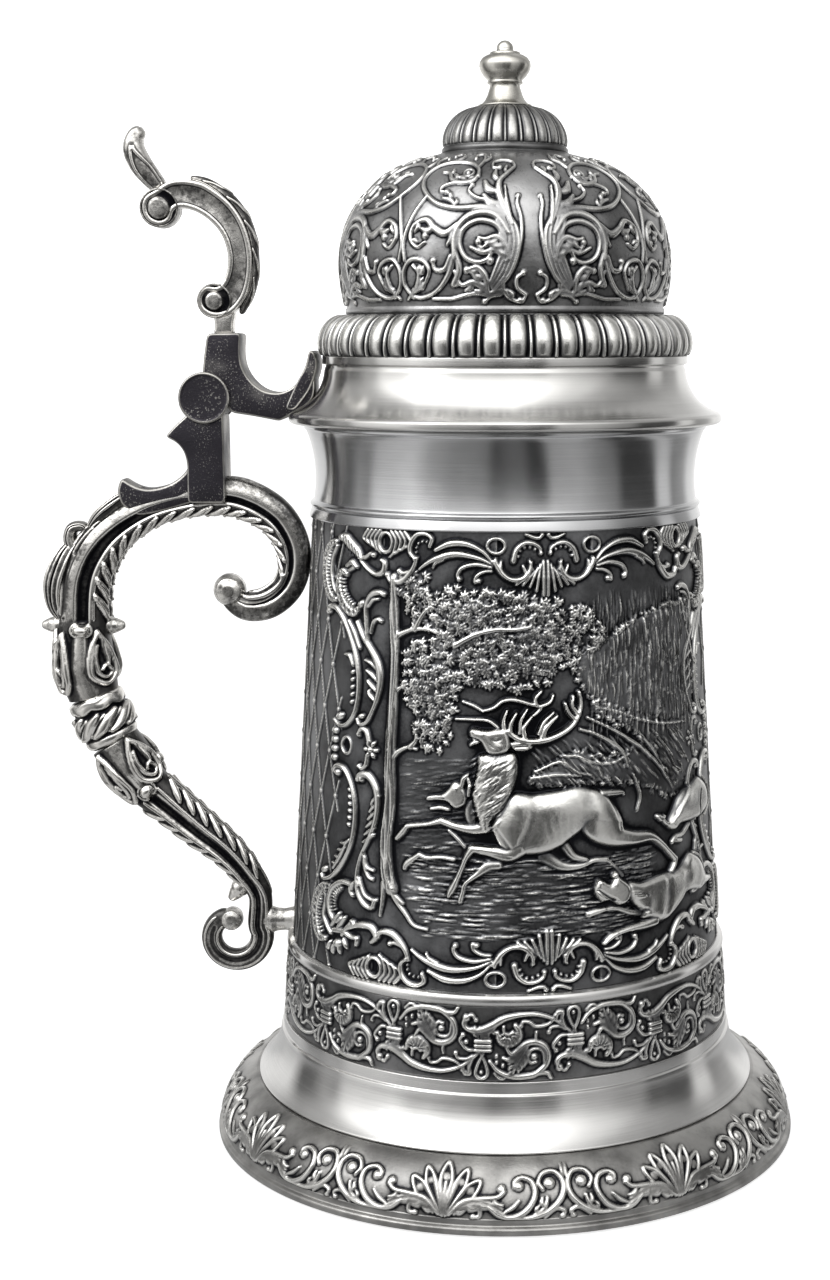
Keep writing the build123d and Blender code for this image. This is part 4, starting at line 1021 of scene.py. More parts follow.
def edge_faded(relief, over):
    """Lets the relief sink to nothing at both ends of the wall."""
    s = (np.arange(relief.rows) + 0.5) * relief.tall / relief.rows
    relief.h *= np.clip(np.minimum(s, relief.tall - s) / over, 0, 1)[:, None] ** 0.5


def lowered(relief, knee, slope):
    """Heights over the knee are pressed down, so that the boldest figures stay on the wall."""
    relief.h = np.where(relief.h > knee, knee + (relief.h - knee) * slope, relief.h)


FOOT_WALL = arc((74.3, 3.7), (71.3, 10.6), (65.3, 15.2), 30) + [(65.3, 15.2)]
FOOT_REST = rounded([(65.3, 15.2), (62.2, 15.2), (68.6, 9.0), (71.8, 2.8), (71.8, 0.1), (75.4, 0.1, 0.5),
    (75.4, 1.7, 0.5), (74.3, 2.2), (74.2, 3.3), (74.3, 3.7)], 0.3, closed=False)


def make_foot_rim():
    relief = of_wall(FOOT_WALL)
    carve_round(relief, relief.around * FOOT_START, FOOT_MOTIFS, carve_rim_half)
    edge_faded(relief, 0.5)
    relief.h *= CAST_DEPTH
    return embossed("foot_rim_cast", FOOT_WALL, FOOT_REST, relief)


def make_frieze():
    wall = [(57.3, 30.8), (56.2, 48.2)]
    relief = of_wall(wall)
    carve_frieze(relief, relief.around * FRIEZE_START)
    edge_faded(relief, 0.4)
    relief.h *= CAST_DEPTH
    return embossed("frieze_cast", wall, [(56.2, 48.3), (53.2, 48.3), (53.6, 42.3), (53.6, 30.6), (57.3, 30.6)], relief)


def make_drum():
    wall = [(55.0, 51.6), (48.4, 159.7)]
    relief = of_wall(wall)
    carve_drum(relief, -relief.around / 4)
    lowered(relief, 1.7, 0.6)
    return embossed("relief_drum_cast", wall, [(48.4, 159.8), (46.2, 159.8), (52.6, 51.5), (55.0, 51.5)], relief,
        fine=0.4, broad=1.6)


DOME_WALL = [(39.6, 211.6), (40.3, 214.8), (40.8, 218.5), (40.9, 222.5), (40.5, 226.5), (39.4, 231.0), (37.2, 235.6),
    (34.2, 239.6), (30.6, 242.8), (26.5, 245.4), (22.0, 247.3), (16.2, 248.9)]
DOME_REST = [(16.2, 249.0), (13.6, 248.8), (13.6, 247.4), (20.0, 246.0), (26.4, 243.4), (31.4, 240.2), (35.2, 235.9),
    (37.6, 231.0), (38.6, 226.0), (38.9, 220.5), (37.8, 209.9), (39.6, 209.9), (39.9, 210.2), (39.9, 211.1),
    (39.6, 211.4)]


def make_dome():
    path, _ = smooth(DOME_WALL, 0.5)
    relief = Relief(math.tau * 40.9, length_of(path), 0.13)
    carve_round(relief, relief.around * DOME_START, DOME_MOTIFS, carve_dome_half)
    relief.h *= CAST_DEPTH
    edge_faded(relief, 0.5)
    return embossed("lid_dome_cast", path, DOME_REST, relief)


def flute_shares(relief, count):
    """How far across its own flute each column lies and how far up the wall each row lies, both from 0 to 1."""
    u = (np.arange(relief.cols) + 0.5) / relief.cols * count % 1
    return u, ((np.arange(relief.rows) + 0.5) / relief.rows)[:, None]


def crown(q):
    """The height of a half round, from 1 in the middle to 0 where q is 1."""
    return np.sqrt(np.clip(1 - q ** 2, 0, 1))


def make_gadroons():
    """Fat ribs with a thin ridge between each pair, drawn in at both ends."""
    wall = arc((45.9, 199.9), (45.0, 206.2), (40.6, 209.7), 30) + [(40.6, 209.7)]
    relief = of_wall(wall, 0.12)
    u, s = flute_shares(relief, GADROONS)
    swell = np.clip(1 - np.abs(2 * s - 0.96) ** 3.0, 0, 1) ** 0.5
    fat = crown((u - 0.5) / (0.37 * (0.75 + 0.25 * swell))) * 1.35 * swell
    thin = crown(np.minimum(u, 1 - u) / 0.085) * 0.85 * np.clip((1.02 - s) * 3, 0, 1) ** 0.5
    relief.h = np.maximum(fat, thin) - 0.35
    edge_faded(relief, 0.4)
    rest = [(40.5, 209.8), (37.8, 209.8), (41.3, 206.6), (43.0, 203.0), (43.0, 199.75), (45.8, 199.75)]
    return embossed("gadroon_ring_cast", wall, rest, relief, fine=0.5, broad=1.6, lift=0.02)


def make_cap():
    """Hollow flutes between thin ridges that run up to the knob."""
    wall = arc((15.2, 250.9), (13.6, 256.3), (7.2, 260.3), 30) + [(7.2, 260.3)]
    relief = Relief(math.tau * 13, length_of(wall), 0.1)
    u, s = flute_shares(relief, CAP_FLUTES)
    swell = np.clip(1 - np.abs(2 * s - 0.9) ** 4, 0, 1) ** 0.5
    fat = crown((u - 0.5) / 0.36) * 0.75 * swell * (1.1 - 0.6 * s)
    thin = crown(np.minimum(u, 1 - u) / 0.09) * 0.5 * (1.1 - 0.5 * s)
    relief.h = np.maximum(fat, thin) - 0.2
    edge_faded(relief, 0.3)
    rest = [(7.1, 260.4), (2.6, 260.4), (2.6, 258.0), (7.0, 258.0), (11.4, 254.4), (13.2, 249.3), (13.2, 249.1),
        (15.3, 249.05), (15.65, 249.3), (15.65, 250.1), (15.3, 250.5), (15.1, 250.7)]
    return embossed("fluted_cap_cast", wall, rest, relief, fine=0.4, broad=1.2, lift=0.02)


def make_finial():
    outline = [(0.05, 268.3), (2.4, 268.3), (2.45, 268.2), (2.45, 260.45), (2.6, 260.4), (6.6, 260.4), (6.8, 260.6),
        (6.6, 260.9), (5.7, 261.2), (5.0, 262.0), (4.4, 263.2), (3.95, 264.6), (3.75, 265.4), (3.85, 265.8),
        (4.3, 265.95), (4.5, 266.2), (4.3, 266.5), (4.35, 266.9), (5.3, 267.8), (6.05, 268.9), (6.42, 270.1),
        (6.3, 271.2), (5.6, 272.2), (4.6, 272.8), (3.9, 272.95), (3.75, 273.15), (3.8, 273.4), (3.4, 273.6),
        (2.5, 273.75), (2.1, 273.95)]
    outline += [(2.12 * math.cos(a), 274.3 + 2.1 * math.sin(a)) for a in np.linspace(0, math.pi / 2 - 0.03, 10)]
    return grid_piece("finial_knob", spun(np.array(outline), 160), loop=False)


def make_lid_skirt():
    return turned("lid_skirt_turned", [(43.9, 180.2), (45.4, 180.2), (45.4, 183.0, 0.1), (53.6, 183.0),
        (54.4, 183.5, 0.5), (54.4, 185.0, 0.5), (53.8, 185.5)] + arc((53.6, 185.6), (48.2, 189.3), (45.3, 196.9),
        24) + [(45.0, 197.1, 0.1), (45.0, 197.5, 0.1), (45.8, 197.7), (45.8, 199.7), (43.0, 199.7, 0.1), (43.0, 193.0),
        (43.9, 188.0)])


def make_collar():
    return turned("mouth_collar_turned", [(46.2, 159.85), (49.5, 159.85, 0.1), (49.55, 160.1), (48.95, 162.2, 0.1),
        (48.6, 162.5, 0.1)] + arc((48.7, 162.6), (49.35, 163.2), (48.7, 163.8), 8) + arc((48.35, 164.0), (48.0, 172.5),
        (50.0, 181.2), 24) + [(50.2, 181.5), (50.7, 181.9, 0.4), (50.6, 182.8, 0.4), (46.4, 182.8, 0.4)], 448)


def make_fillet():
    return turned("base_fillet_turned", [(52.7, 48.4), (56.2, 48.4, 0.15)] + arc((56.45, 48.6), (56.9, 49.8),
        (56.3, 51.2), 12) + [(55.6, 51.4, 0.15), (52.7, 51.4)], 448, 0.1)


def make_flare():
    return turned("foot_flare_turned", [(61.9, 15.3), (64.5, 15.3), (64.6, 15.7)] + arc((64.4, 15.9), (60.4, 20.8),
        (58.7, 27.0), 24) + [(58.6, 27.3, 0.1), (58.0, 27.6, 0.15), (58.05, 30.5, 0.2), (51.5, 30.5, 0.1), (51.5, 28.8),
        (55.6, 27.0), (57.6, 19.8)], 448)


# ---- Handle -------------------------------------------------------------------------------------------------------

# (x, z, half width) along each arm, as in the CAD
UPPER_ARM = [(-106.0, 112.8, 6.3), (-107.6, 120.0, 7.7), (-108.0, 130.5, 6.4), (-107.2, 142.5, 6.3),
    (-103.7, 150.5, 5.9), (-98.2, 156.3, 5.0), (-90.0, 161.0, 4.4), (-82.0, 163.3, 4.3), (-74.5, 164.5, 4.8),
    (-67.0, 164.0, 5.0), (-59.0, 159.8, 4.7), (-54.6, 153.5, 4.3), (-53.6, 147.0, 4.0), (-55.6, 141.0, 3.9),
    (-60.3, 137.0, 4.0), (-65.6, 136.0, 3.8), (-69.4, 137.6, 3.0), (-71.2, 140.0, 2.0)]
LOWER_ARM = [(-101.0, 100.8, 6.4), (-97.0, 94.4, 7.0), (-92.7, 89.2, 5.7), (-86.4, 83.8, 5.1), (-79.8, 78.0, 4.8),
    (-73.0, 72.3, 4.2), (-67.8, 66.2, 3.7), (-64.2, 60.0, 3.0)]
# The unrolled width of an arm's skin
AROUND = 36.0
# Where the hinge pin is, as (x, z), and half the thickness of the hinge castings
HINGE, HALF_THICK = (-75.0, 189.3), 6.2


class Arm:
    """A swept arm whose skin can be carved: u runs round the section, from 0 at its outer side over 9 at the front
    to 18 at its inner side, and s runs along it."""

    def __init__(self, stations, hand, flat=0.85, pitch=0.17, square=2.5):
        p = np.array(stations, float)
        path, t = smooth(p[:, :2], 0.05)
        far = [np.hypot(*(path - q).T).argmin() for q in p[:, :2]]
        half = np.interp(np.arange(len(path)), far, p[:, 2])
        self.length = 0.05 * len(path)
        self.relief = Relief(AROUND, self.length, pitch)
        rows = self.relief.rows // 2
        even = np.linspace(0, len(path) - 1, rows)
        soft = np.array([np.interp(even, np.arange(len(path)), v) for v in (*path.T, half)])
        size = max(round(1.6 / self.length * rows), 1)
        padded = np.pad(soft[2], size, mode="edge")
        soft[2] = sum(padded[k:k + rows] for k in range(2 * size + 1)) / (2 * size + 1)
        self.centre, self.half = soft[:2].T, soft[2]
        self.flat, self.square, self.hand = flat, square, hand
        run = np.gradient(self.centre, axis=0)
        self.run = run / np.hypot(*run.T)[:, None]
        self.out = np.stack([-self.run[:, 1], self.run[:, 0]], 1) * hand

    def at(self, x, z):
        """How far along the arm a point of the handle's plane is."""
        return (np.hypot(*(self.centre - (x, z)).T).argmin() + 0.5) / len(self.centre) * self.length

    def carvers(self):
        return [Carver(self.relief, 0, 0, side) for side in (1, -1)]

    def piece(self, name, blunt=(0.0, 0.0), lift=0.0, fine=0.35, broad=1.5):
        """The arm as a closed mesh. blunt gives how far each end rounds off."""
        height, worn = halved(self.relief.h), halved(rub(self.relief, fine, broad, lift))
        rows, cols = height.shape
        s = (np.arange(rows) + 0.5) / rows * self.length
        close = np.ones(rows)
        for far, reach in ((s, blunt[0]), (self.length - s, blunt[1])):
            if reach:
                close *= np.sqrt(1 - np.clip(1 - far / reach, 0, 0.999) ** 2)
        phi = (np.arange(cols) + 0.5) / cols * math.tau
        c, d = np.cos(phi), np.sin(phi)
        e = 2 / self.square
        px, py = np.sign(c) * np.abs(c) ** e, np.sign(d) * np.abs(d) ** e
        nx, ny = np.sign(c) * np.abs(c) ** (2 - e), np.sign(d) * np.abs(d) ** (2 - e) / self.flat
        n = np.hypot(nx, ny)
        half = (self.half * close)[:, None]
        swell = height * (self.half / 6.0 * close)[:, None]
        a, b = px * half + nx / n * swell, py * half * self.flat + ny / n * swell
        x = self.centre[:, :1] + self.out[:, :1] * a
        z = self.centre[:, 1:] + self.out[:, 1:] * a
        grid = np.stack([x, -b, z], -1)
        if self.hand < 0:
            grid, worn = grid[::-1], worn[::-1]
        return grid_piece(name, grid, worn, loop=False)


def lathed(name, base, toward, profile, flat=1.0, around=48):
    """A small part standing at base in the handle's plane; profile is (height, radius) pairs, and flat is its depth
    over its width."""
    dx, dz = np.array(toward, float) / math.hypot(*toward)
    h, r = rounded([(p[0], p[1]) for p in profile], 0.3, 3, closed=False).T
    a = np.arange(around) / around * math.tau
    x = base[0] + dx * h[:, None] + np.cos(a) * r[:, None] * -dz
    z = base[1] + dz * h[:, None] + np.cos(a) * r[:, None] * dx
    rows = np.stack([x, flat * np.sin(a) * r[:, None] + 0 * x, z], -1)
    return grid_piece(name, rows[:, ::-1], np.full(rows.shape[:2], 0.55), loop=False)


def along_y(name, x, z, profile, around=64, worn=0.5, gap=(0, 0)):
    """A small turned part whose axis runs across the handle; profile is (y, radius) pairs from front to back, and
    black is left between the two radii of gap."""
    y, r = rounded([(p[0], p[1]) for p in profile], 0.35, 4, closed=False).T
    a = np.arange(around) / around * math.tau
    rows = np.stack([x + np.cos(a) * r[:, None], y[:, None] + 0 * a, z - np.sin(a) * r[:, None]], -1)
    shade = np.where((r > gap[0]) & (r < gap[1]), 0.1, worn)[:, None] + 0 * a
    return grid_piece(name, rows, shade, loop=False)


PEG = [(-2.5, 0.05), (-2.5, 2.2), (0.0, 2.5), (0.7, 2.1), (1.6, 1.9), (3.1, 1.2), (3.7, 0.85), (3.9, 0.03)]
STUD = [(-1.5, 0.05), (-1.5, 1.0), (0.3, 0.9), (1.2, 0.95), (1.8, 1.5), (2.6, 1.6), (3.4, 1.2), (3.7, 0.05)]


def bosses(x, z, out):
    """A small round boss on each side of an arm."""
    return [along_y("arm_boss", x, z, [(side * out - 0.6, 0.05), (side * out - 0.5, 1.3), (side * out + 0.5, 1.3),
                                       (side * out + 0.6, 0.05)]) for side in (-1, 1)]


def knuckles(places):
    """Rings round the hinge pin, at the places given of the five across the hinge."""
    out = []
    for n in places:
        low = -HALF_THICK + 2.5 * n
        profile = [(low, 1.98), (low + 0.05, 6.15), (low + 2.35, 6.15), (low + 2.4, 1.98)]
        out.append(along_y("knuckle", *HINGE, profile, worn=0.6))
    return out


def carve_volute(c, s, wide, tall, lean=0.0):
    """A long drop-shaped curl: a raised rim round a petal and a small spiral, point away from the collar."""
    def w(x, y):
        return (x * wide / 2.4 + lean * y / 15, s + y * tall / 15)

    c.strand([w(0.4, 15.2), w(-1.5, 11.6), w(-2.5, 7), w(-2.3, 3), w(0, 0.8), w(2.3, 3), w(2.5, 7), w(1.7, 11.6),
             w(0.4, 15.2)], 0.68, 1.15)
    c.strand([w(-0.4, 13), w(-1.1, 9.6), w(-0.9, 6.6)], [0.5, 1.15, 0.5], 0.75)
    c.strand([w(0.9, 11.6), w(1.5, 8.4), w(1.4, 4.6), w(0.2, 2.7), w(-1.1, 3.4), w(-1.2, 5.2), w(-0.2, 6.4),
             w(0.6, 5.2)], [0.55, 0.65, 0.5, 0.45], 0.95)


def carve_laurel(c, s, ridge, edge, length):
    """One hollow leaf from the arm's inner edge up to the ridge beside the channel."""
    mid = (edge + ridge) / 2
    c.strand([(edge, s), (mid + 1.0, s + length * 0.4), (ridge + 1.2, s + length * 0.84), (ridge + 0.4, s + length)],
             [0.5, 1.3, 1.25, 0.6], 1.15)
    c.groove([(edge - 0.4, s + length * 0.14), (mid + 0.9, s + length * 0.46), (ridge + 1.2, s + length * 0.84)], 0.55,
             0.6)


def make_upper_arm():
    arm = Arm(UPPER_ARM, 1)
    boss, spur, end = arm.at(-108, 130.2), arm.at(-92, 160), arm.length
    hook = arm.at(-55.6, 141.0)
    for c in arm.carvers():
        # cup: smooth tongue between two drop-shaped curls, and their fellows behind
        carve_volute(c, 2.2, 3.2, boss - 2.6, 0.8)
        carve_volute(Carver(arm.relief, c.fx * 4.3, 0, c.fx), 2.2, 1.9, boss - 3.4, 0.4)
        carve_volute(Carver(arm.relief, c.fx * 13.6, 0, -c.fx), 2.2, 2.9, boss - 2.6, 0.6)
        c.strand([(9.0, 0.2), (9.0, 8), (9.2, boss)], [3.0, 2.2, 1.5], [0.4, 0.75, 0.9], "soft")
        c.ball((9.2, boss + 0.2), 1.45, 2.0)
        c.ring((9.2, boss + 0.2), (1.9, 1.7), 0.35, 0.8)
        # broad rounded rib outside, a dark channel, and leaves along the inside
        c.strand([(9.4, boss + 2.4), (9.5, boss + 12), (9.7, boss + 26), (9.8, spur + 20), (9.9, hook),
                 (10.4, end - 5)], [1.1, 1.5, 1.4, 1.1, 1.0, 0.9, 0.6], -0.9, "band", True)
        c.strand([(11.8, boss + 3), (11.7, boss + 12), (11.5, boss + 26), (11.1, spur + 20), (11.2, hook)],
                 [0.4, 0.55, 0.4], 0.6)
        c.strand([(4.9, boss + 3), (4.6, boss + 16), (4.0, boss + 30)], [0.5, 1.3, 0.3], -0.9, "soft", True)
        c.strand([(13.4, boss + 3), (12.8, boss + 14), (12.4, boss + 27), (12.2, spur + 20), (12.4, hook - 4)], 2.3,
                 -0.7, "soft", True)
        s = boss + 2.6
        while s < hook - 5:
            carve_laurel(c, s, 11.6, 16.6, 6.8)
            s += 5.0
        c.strand([(16.4, boss + 2), (16.4, hook - 2)], 0.5, 0.45)
        # rolled lips of the scroll end
        c.strand([(11.6, hook - 3), (12.2, hook + 4), (13.4, end - 6), (14.6, end - 3)], [0.7, 1.2, 1.3, 0.8], 0.9)
        c.strand([(15.6, hook - 5), (16.2, hook + 3), (17.4, end - 6)], [0.5, 0.9, 0.5], 0.7)
        c.strand([(13.9, hook - 2), (14.7, hook + 4), (15.8, end - 6)], 0.6, -0.5, "soft", True)
        # leaf lines on the outer side
        for a, b in ((1.0, 30), (2.7, 24), (3.9, 17)):
            c.strand([(a, boss + 4), (a + 0.5, boss + b * 0.5), (a * 0.6, boss + b)], [0.4, 0.7, 0.35], 0.6)
    arms = [arm.piece("upper_arm", (0.0, 2.0))]
    lobe = Arm([(-112.4, 131.6, 1.0), (-114.3, 136.5, 2.7), (-114.3, 142.5, 3.4), (-112.0, 148.6, 3.0),
        (-108.8, 153.6, 1.6)], 1, 1.4)
    for c in lobe.carvers():
        c.strand([(2.6, 1.5), (4.2, lobe.length * 0.5), (3.2, lobe.length - 1.5)], [0.4, 1.0, 0.4], 0.8)
        c.groove([(6.2, 2.5), (7.6, lobe.length * 0.5), (6.8, lobe.length - 2.5)], 0.8, 1.2)
        c.strand([(9.4, 1.5), (10.6, lobe.length * 0.5), (10, lobe.length - 1.5)], [0.4, 1.0, 0.4], 0.8)
    arms.append(lobe.piece("arm_lobe", (2.0, 2.0)))
    curl = Arm([(-107.9, 146.5, 1.0), (-109.2, 150.0, 1.6), (-110.8, 153.0, 1.7), (-110.2, 156.0, 1.5),
        (-107.6, 156.6, 1.3), (-106.4, 155.0, 1.0)], 1, 1.9)
    for c in curl.carvers():
        c.strand([(7.0, 1), (7.4, curl.length * 0.5), (7, curl.length - 1)], 1.0, -0.9, "soft", True)
    arms.append(curl.piece("arm_curl", (1.4, 1.4)))
    frond = Arm([(-106.4, 154.6, 0.9), (-103.0, 159.0, 2.0), (-98.6, 162.6, 2.2), (-94.4, 165.0, 1.6),
        (-91.0, 166.0, 0.9)], 1, 1.6)
    for c in frond.carvers():
        for n in range(3):
            c.strand([(2.5 + 2.4 * n, 0.8), (3.6 + 2.2 * n, frond.length * (0.4 + 0.1 * n)),
                     (1.8 + 2.4 * n, frond.length - 1 - n)], [0.5, 0.9, 0.4], 0.9)
    arms.append(frond.piece("arm_frond", (1.6, 1.6)))
    for base, toward in (((-115.0, 131.3), (-1, -0.02)), ((-101.2, 131.1), (1, 0.02))):
        arms.append(lathed("arm_peg", base, toward, PEG))
    arms += bosses(-108.0, 130.3, 4.6)
    knob = along_y("scroll_knob", -70.4, 140.4, [(-4.3, 0.05), (-4.25, 1.4), (-3.4, 3.2), (-1.4, 4.1), (1.4, 4.1),
        (3.4, 3.2), (4.25, 1.4), (4.3, 0.05)])
    arms.append(knob)
    return joined("handle_upper_arm_cast", arms)


def make_rope_collar():
    arm = Arm([(-106.1, 113.0, 6.3), (-105.2, 110.9, 6.7), (-103.6, 106.8, 6.9), (-102.2, 103.4, 6.7),
        (-101.0, 100.9, 6.2)], -1, 0.95, 0.15, 2.0)
    r = arm.relief
    c = Carver(r)
    r.h -= 0.9
    wave = [(u, 2.1 + 0.35 * math.sin(u * 1.3)) for u in np.linspace(-1, 37, 60)]
    c.strand(wave, 1.5, 0.75)
    c.strand([(u, 1.2 + 0.2 * math.sin(u * 1.3 + 1)) for u in np.linspace(-1, 37, 60)], 0.6, 0.8)
    c.strand([(u, 7.2) for u in (-1, 12, 24, 37)], 2.6, 0.3)
    for n in range(9):
        u = n * 4.0
        c.strand([(u - 1.0, 9.6), (u + 1.1, 8.4), (u + 3.4, 6.2), (u + 5.2, 4.7)], [0.6, 1.35, 1.35, 0.6], 1.25)
        c.strand([(u - 1.8, 9.4), (u + 0.2, 7.0), (u + 2.6, 5.0)], [0.25, 0.4, 0.25], 0.9)
    c.strand([(u, 11.4) for u in (-1, 12, 24, 37)], 1.1, 0.6)
    return arm.piece("handle_rope_collar_cast", lift=0.02)


def foot_scroll():
    """The lower arm carried on round the foot scroll to its curled tip."""
    turns = range(25, -262, -20)
    out = []
    for n, angle in enumerate(turns):
        share = n / (len(turns) - 1)
        reach = 7.0 - 2.2 * share ** 3.5
        out.append((-70.7 + reach * math.cos(math.radians(angle)), 49.2 + reach * math.sin(math.radians(angle)),
                   3.1 - 0.6 * share))
    return out


def make_lower_arm():
    arm = Arm(LOWER_ARM + foot_scroll(), -1)
    boss, turn, end = arm.at(-93, 88.4), arm.at(-64.2, 60.0), arm.length
    for c in arm.carvers():
        # the cup hangs the other way up: rounds by the collar, points at the boss
        for at, wide in ((4.2, 2.7), (13.4, 3.1)):
            flip = Carver(arm.relief, c.fx * at, boss + 1.6, c.fx if at < 9 else -c.fx, -1)
            carve_volute(flip, 0.6, wide, boss * 0.98, 0.5)
        c.strand([(9.0, 0.2), (9.0, boss * 0.5), (8.9, boss)], [2.8, 2.0, 1.3], [0.4, 0.75, 0.9], "soft")
        c.ball((8.9, boss + 0.4), 1.5, 2.0)
        c.ring((8.9, boss + 0.4), (2.0, 1.8), 0.35, 0.8)
        c.strand([(8.6, boss + 3), (8.2, boss + 14), (8.3, turn - 6), (8.8, turn + 4), (9.0, end - 6)],
                 [1.2, 1.5, 1.3, 1.4, 1.9, 1.2], [-0.8, -0.8, -0.8, -0.6, -0.45, -0.3], "band", True)
        c.strand([(6.2, boss + 2), (6.1, boss + 14), (6.2, turn - 6), (5.8, turn + 6), (5.8, end - 4)],
                 [0.5, 0.55, 0.9, 0.9, 0.8], 0.7)
        c.strand([(10.9, boss + 2), (10.4, boss + 14), (10.5, turn - 6), (12.2, turn + 6), (12.2, end - 4)],
                 [0.4, 0.5, 0.9, 0.9, 0.8], 0.7)
        c.strand([(12.4, boss + 3), (12.2, turn - 6)], 1.0, -0.6, "soft", True)
        s = boss + 3.0
        while s < turn - 6:
            c.strand([(16.0, s), (14.6, s + 2.2), (13.0, s + 4.2), (12.0, s + 5.4)], [0.4, 1.0, 1.15, 0.6], 1.1)
            c.strand([(15.2, s + 2.7), (16.4, s + 4.2)], [0.6, 0.3], 0.7)
            c.strand([(0.6, s), (2.4, s + 1.8), (4.0, s + 3.8), (5.4, s + 5.2)], [0.5, 1.05, 1.0, 0.5], 0.95)
            s += 4.6
        c.strand([(17.2, boss + 2), (17.2, turn)], 0.5, 0.5)
    parts = [arm.piece("lower_arm", (0.0, 2.0))]
    for base, toward, shape in (((-91.6, 94.9), (0.75, 0.66), STUD), ((-98.6, 89.0), (-0.95, -0.3), STUD),
        ((-69.6, 61.4), (-0.62, -0.75), PEG)):
        parts.append(lathed("arm_stud", base, toward, shape))
    parts += bosses(-93.0, 88.2, 4.3)
    parts.append(along_y("foot_knob", -71.6, 53.4, [(-3.1, 0.05), (-3.05, 1.4), (-2.4, 2.6), (0, 3.0), (2.4, 2.6),
        (3.05, 1.4), (3.1, 0.05)]))
    return joined("handle_lower_arm_cast", parts)


def make_strut():
    """The stay's arm end sinks into the foot scroll, and its other end meets the drum."""
    profile = [(-2.0, 0.05), (-2.0, 2.6), (-0.4, 3.2), (1.4, 3.7), (3.0, 3.1), (5.0, 2.9), (7.0, 3.4), (8.6, 4.2),
        (8.7, 0.05)]
    return lathed("handle_strut_cast", (-62.6, 53.2), (1, 0), profile, 0.8)


# ---- Plates: post, shank and thumb lift ---------------------------------------------------------------------------

def plate(name, outline, thick, edge=0.6, dish=0.0, rim=0.5, blunt=3):
    """A flat casting from its outline in the handle's plane: rounded edges rubbed bright, and a rim round a
    sunken face where dish is given."""
    path = smooth_corners(outline, 0.28)
    for _ in range(2):
        path = sum(np.roll(path, k, 0) for k in range(-blunt, blunt + 1)) / (2 * blunt + 1)
    run = np.roll(path, -1, 0) - np.roll(path, 1, 0)
    area = np.sum(path[:, 0] * np.roll(path[:, 1], -1) - path[:, 1] * np.roll(path[:, 0], -1))
    inward = np.stack([-run[:, 1], run[:, 0]], 1) / np.hypot(*run.T)[:, None] * np.sign(area)
    turns = np.linspace(0, math.pi / 2, 5)
    steps = [(edge * (1 - math.cos(a)), edge * (1 - math.sin(a)), w) for a,
        w in zip(turns, (0.75, 0.85, 0.95, 0.9, 0.55))]
    if dish:
        steps += [(edge + rim, 0, 0.75), (edge + rim + 0.25, dish * 0.6, 0.15), (edge + rim + 0.5, dish, 0.46)]
    front = [np.insert(path + inward * far, 1, deep - thick / 2, 1) for far, deep, _ in steps][::-1]
    worn = [np.full(len(path), w) for *_, w in steps][::-1]
    rows = np.array(front + [sheet * (1, -1, 1) for sheet in front[::-1]])
    if area > 0:
        rows = rows[:, ::-1]
    return grid_piece(name, rows, np.array(worn + worn[::-1]), loop=False, faces=filled(rows[0][:, (0, 2)]))


def filled(loop):
    """Triangles that fill a closed loop of flat points."""
    points, _, faces, *_ = delaunay_2d_cdt([Vector(p) for p in loop], [], [list(range(len(loop)))], 1, 1e-6)
    own = [int(np.hypot(*(loop - p).T).argmin()) for p in points]
    return [[own[i] for i in face] for face in faces if len({own[i] for i in face}) == 3]


def smooth_corners(points, step):
    """A closed outline at an even pitch; a third number on a point makes it a sharp corner."""
    runs, current = [], []
    n = len(points)
    start = next((i for i, p in enumerate(points) if len(p) > 2), 0)
    order = [points[(start + i) % n] for i in range(n)] + [points[start]]
    for i, p in enumerate(order):
        current.append(p[:2])
        if (len(p) > 2 and i) or i == n:
            if len(current) > 1:
                runs.append(smooth(current, step)[0][:-1] if len(current) > 2 else straight(current, step))
            current = [p[:2]]
    return np.vstack(runs)


def straight(ends, step):
    a, b = np.array(ends, float)
    n = max(round(math.hypot(*(b - a)) / step), 1)
    return a + (b - a) * np.arange(n)[:, None] / n


def make_post():
    post = plate("post", [(-79.8, 163.0, 0), (-70.3, 163.0, 0), (-70.4, 184.0, 0), (-70.9, 185.6), (-75.0, 189.0),
        (-79.0, 185.4, 0), (-82.0, 182.8), (-85.1, 179.6, 0), (-82.4, 178.3), (-80.5, 176.0), (-79.7, 172.6),
        (-79.8, 168.0)], 2 * HALF_THICK, 0.55)
    spur = plate("spur", [(-79.0, 174.6, 0), (-80.6, 170.6), (-84.8, 167.5), (-90.0, 166.3), (-93.6, 167.2),
        (-96.8, 169.2, 0), (-97.9, 166.0), (-97.2, 162.4, 0), (-92.0, 159.6), (-78.0, 163.0, 0), (-76.0, 170.0, 0)],
        7.2, 0.8)
    parts = [post, spur]
    return joined("hinge_post_cast", parts + knuckles((0, 2, 4)))


def make_hinge_cap(name, side):
    """Disc with a bright rounded rim round a rough dark face."""
    face = side * HALF_THICK
    steps = [(0.0, 0.05), (0.0, 6.1), (0.3, 6.35), (0.9, 6.4), (1.25, 6.15), (1.3, 5.85), (1.12, 5.55), (1.1, 5.2),
        (1.1, 0.05)]
    shades = [0.5, 0.5, 0.7, 0.9, 0.95, 0.8, 0.2, 0.3, 0.3]
    a = np.arange(96) / 96 * math.tau
    rows = [np.stack([HINGE[0] + np.cos(a) * r, np.full(96, face + side * h), HINGE[1] - np.sin(a) * r], 1)
            for h, r in steps]
    worn = [np.full(96, w) for w in shades]
    if side < 0:
        rows, worn = rows[::-1], worn[::-1]
    return grid_piece(name, rows, worn, loop=False)


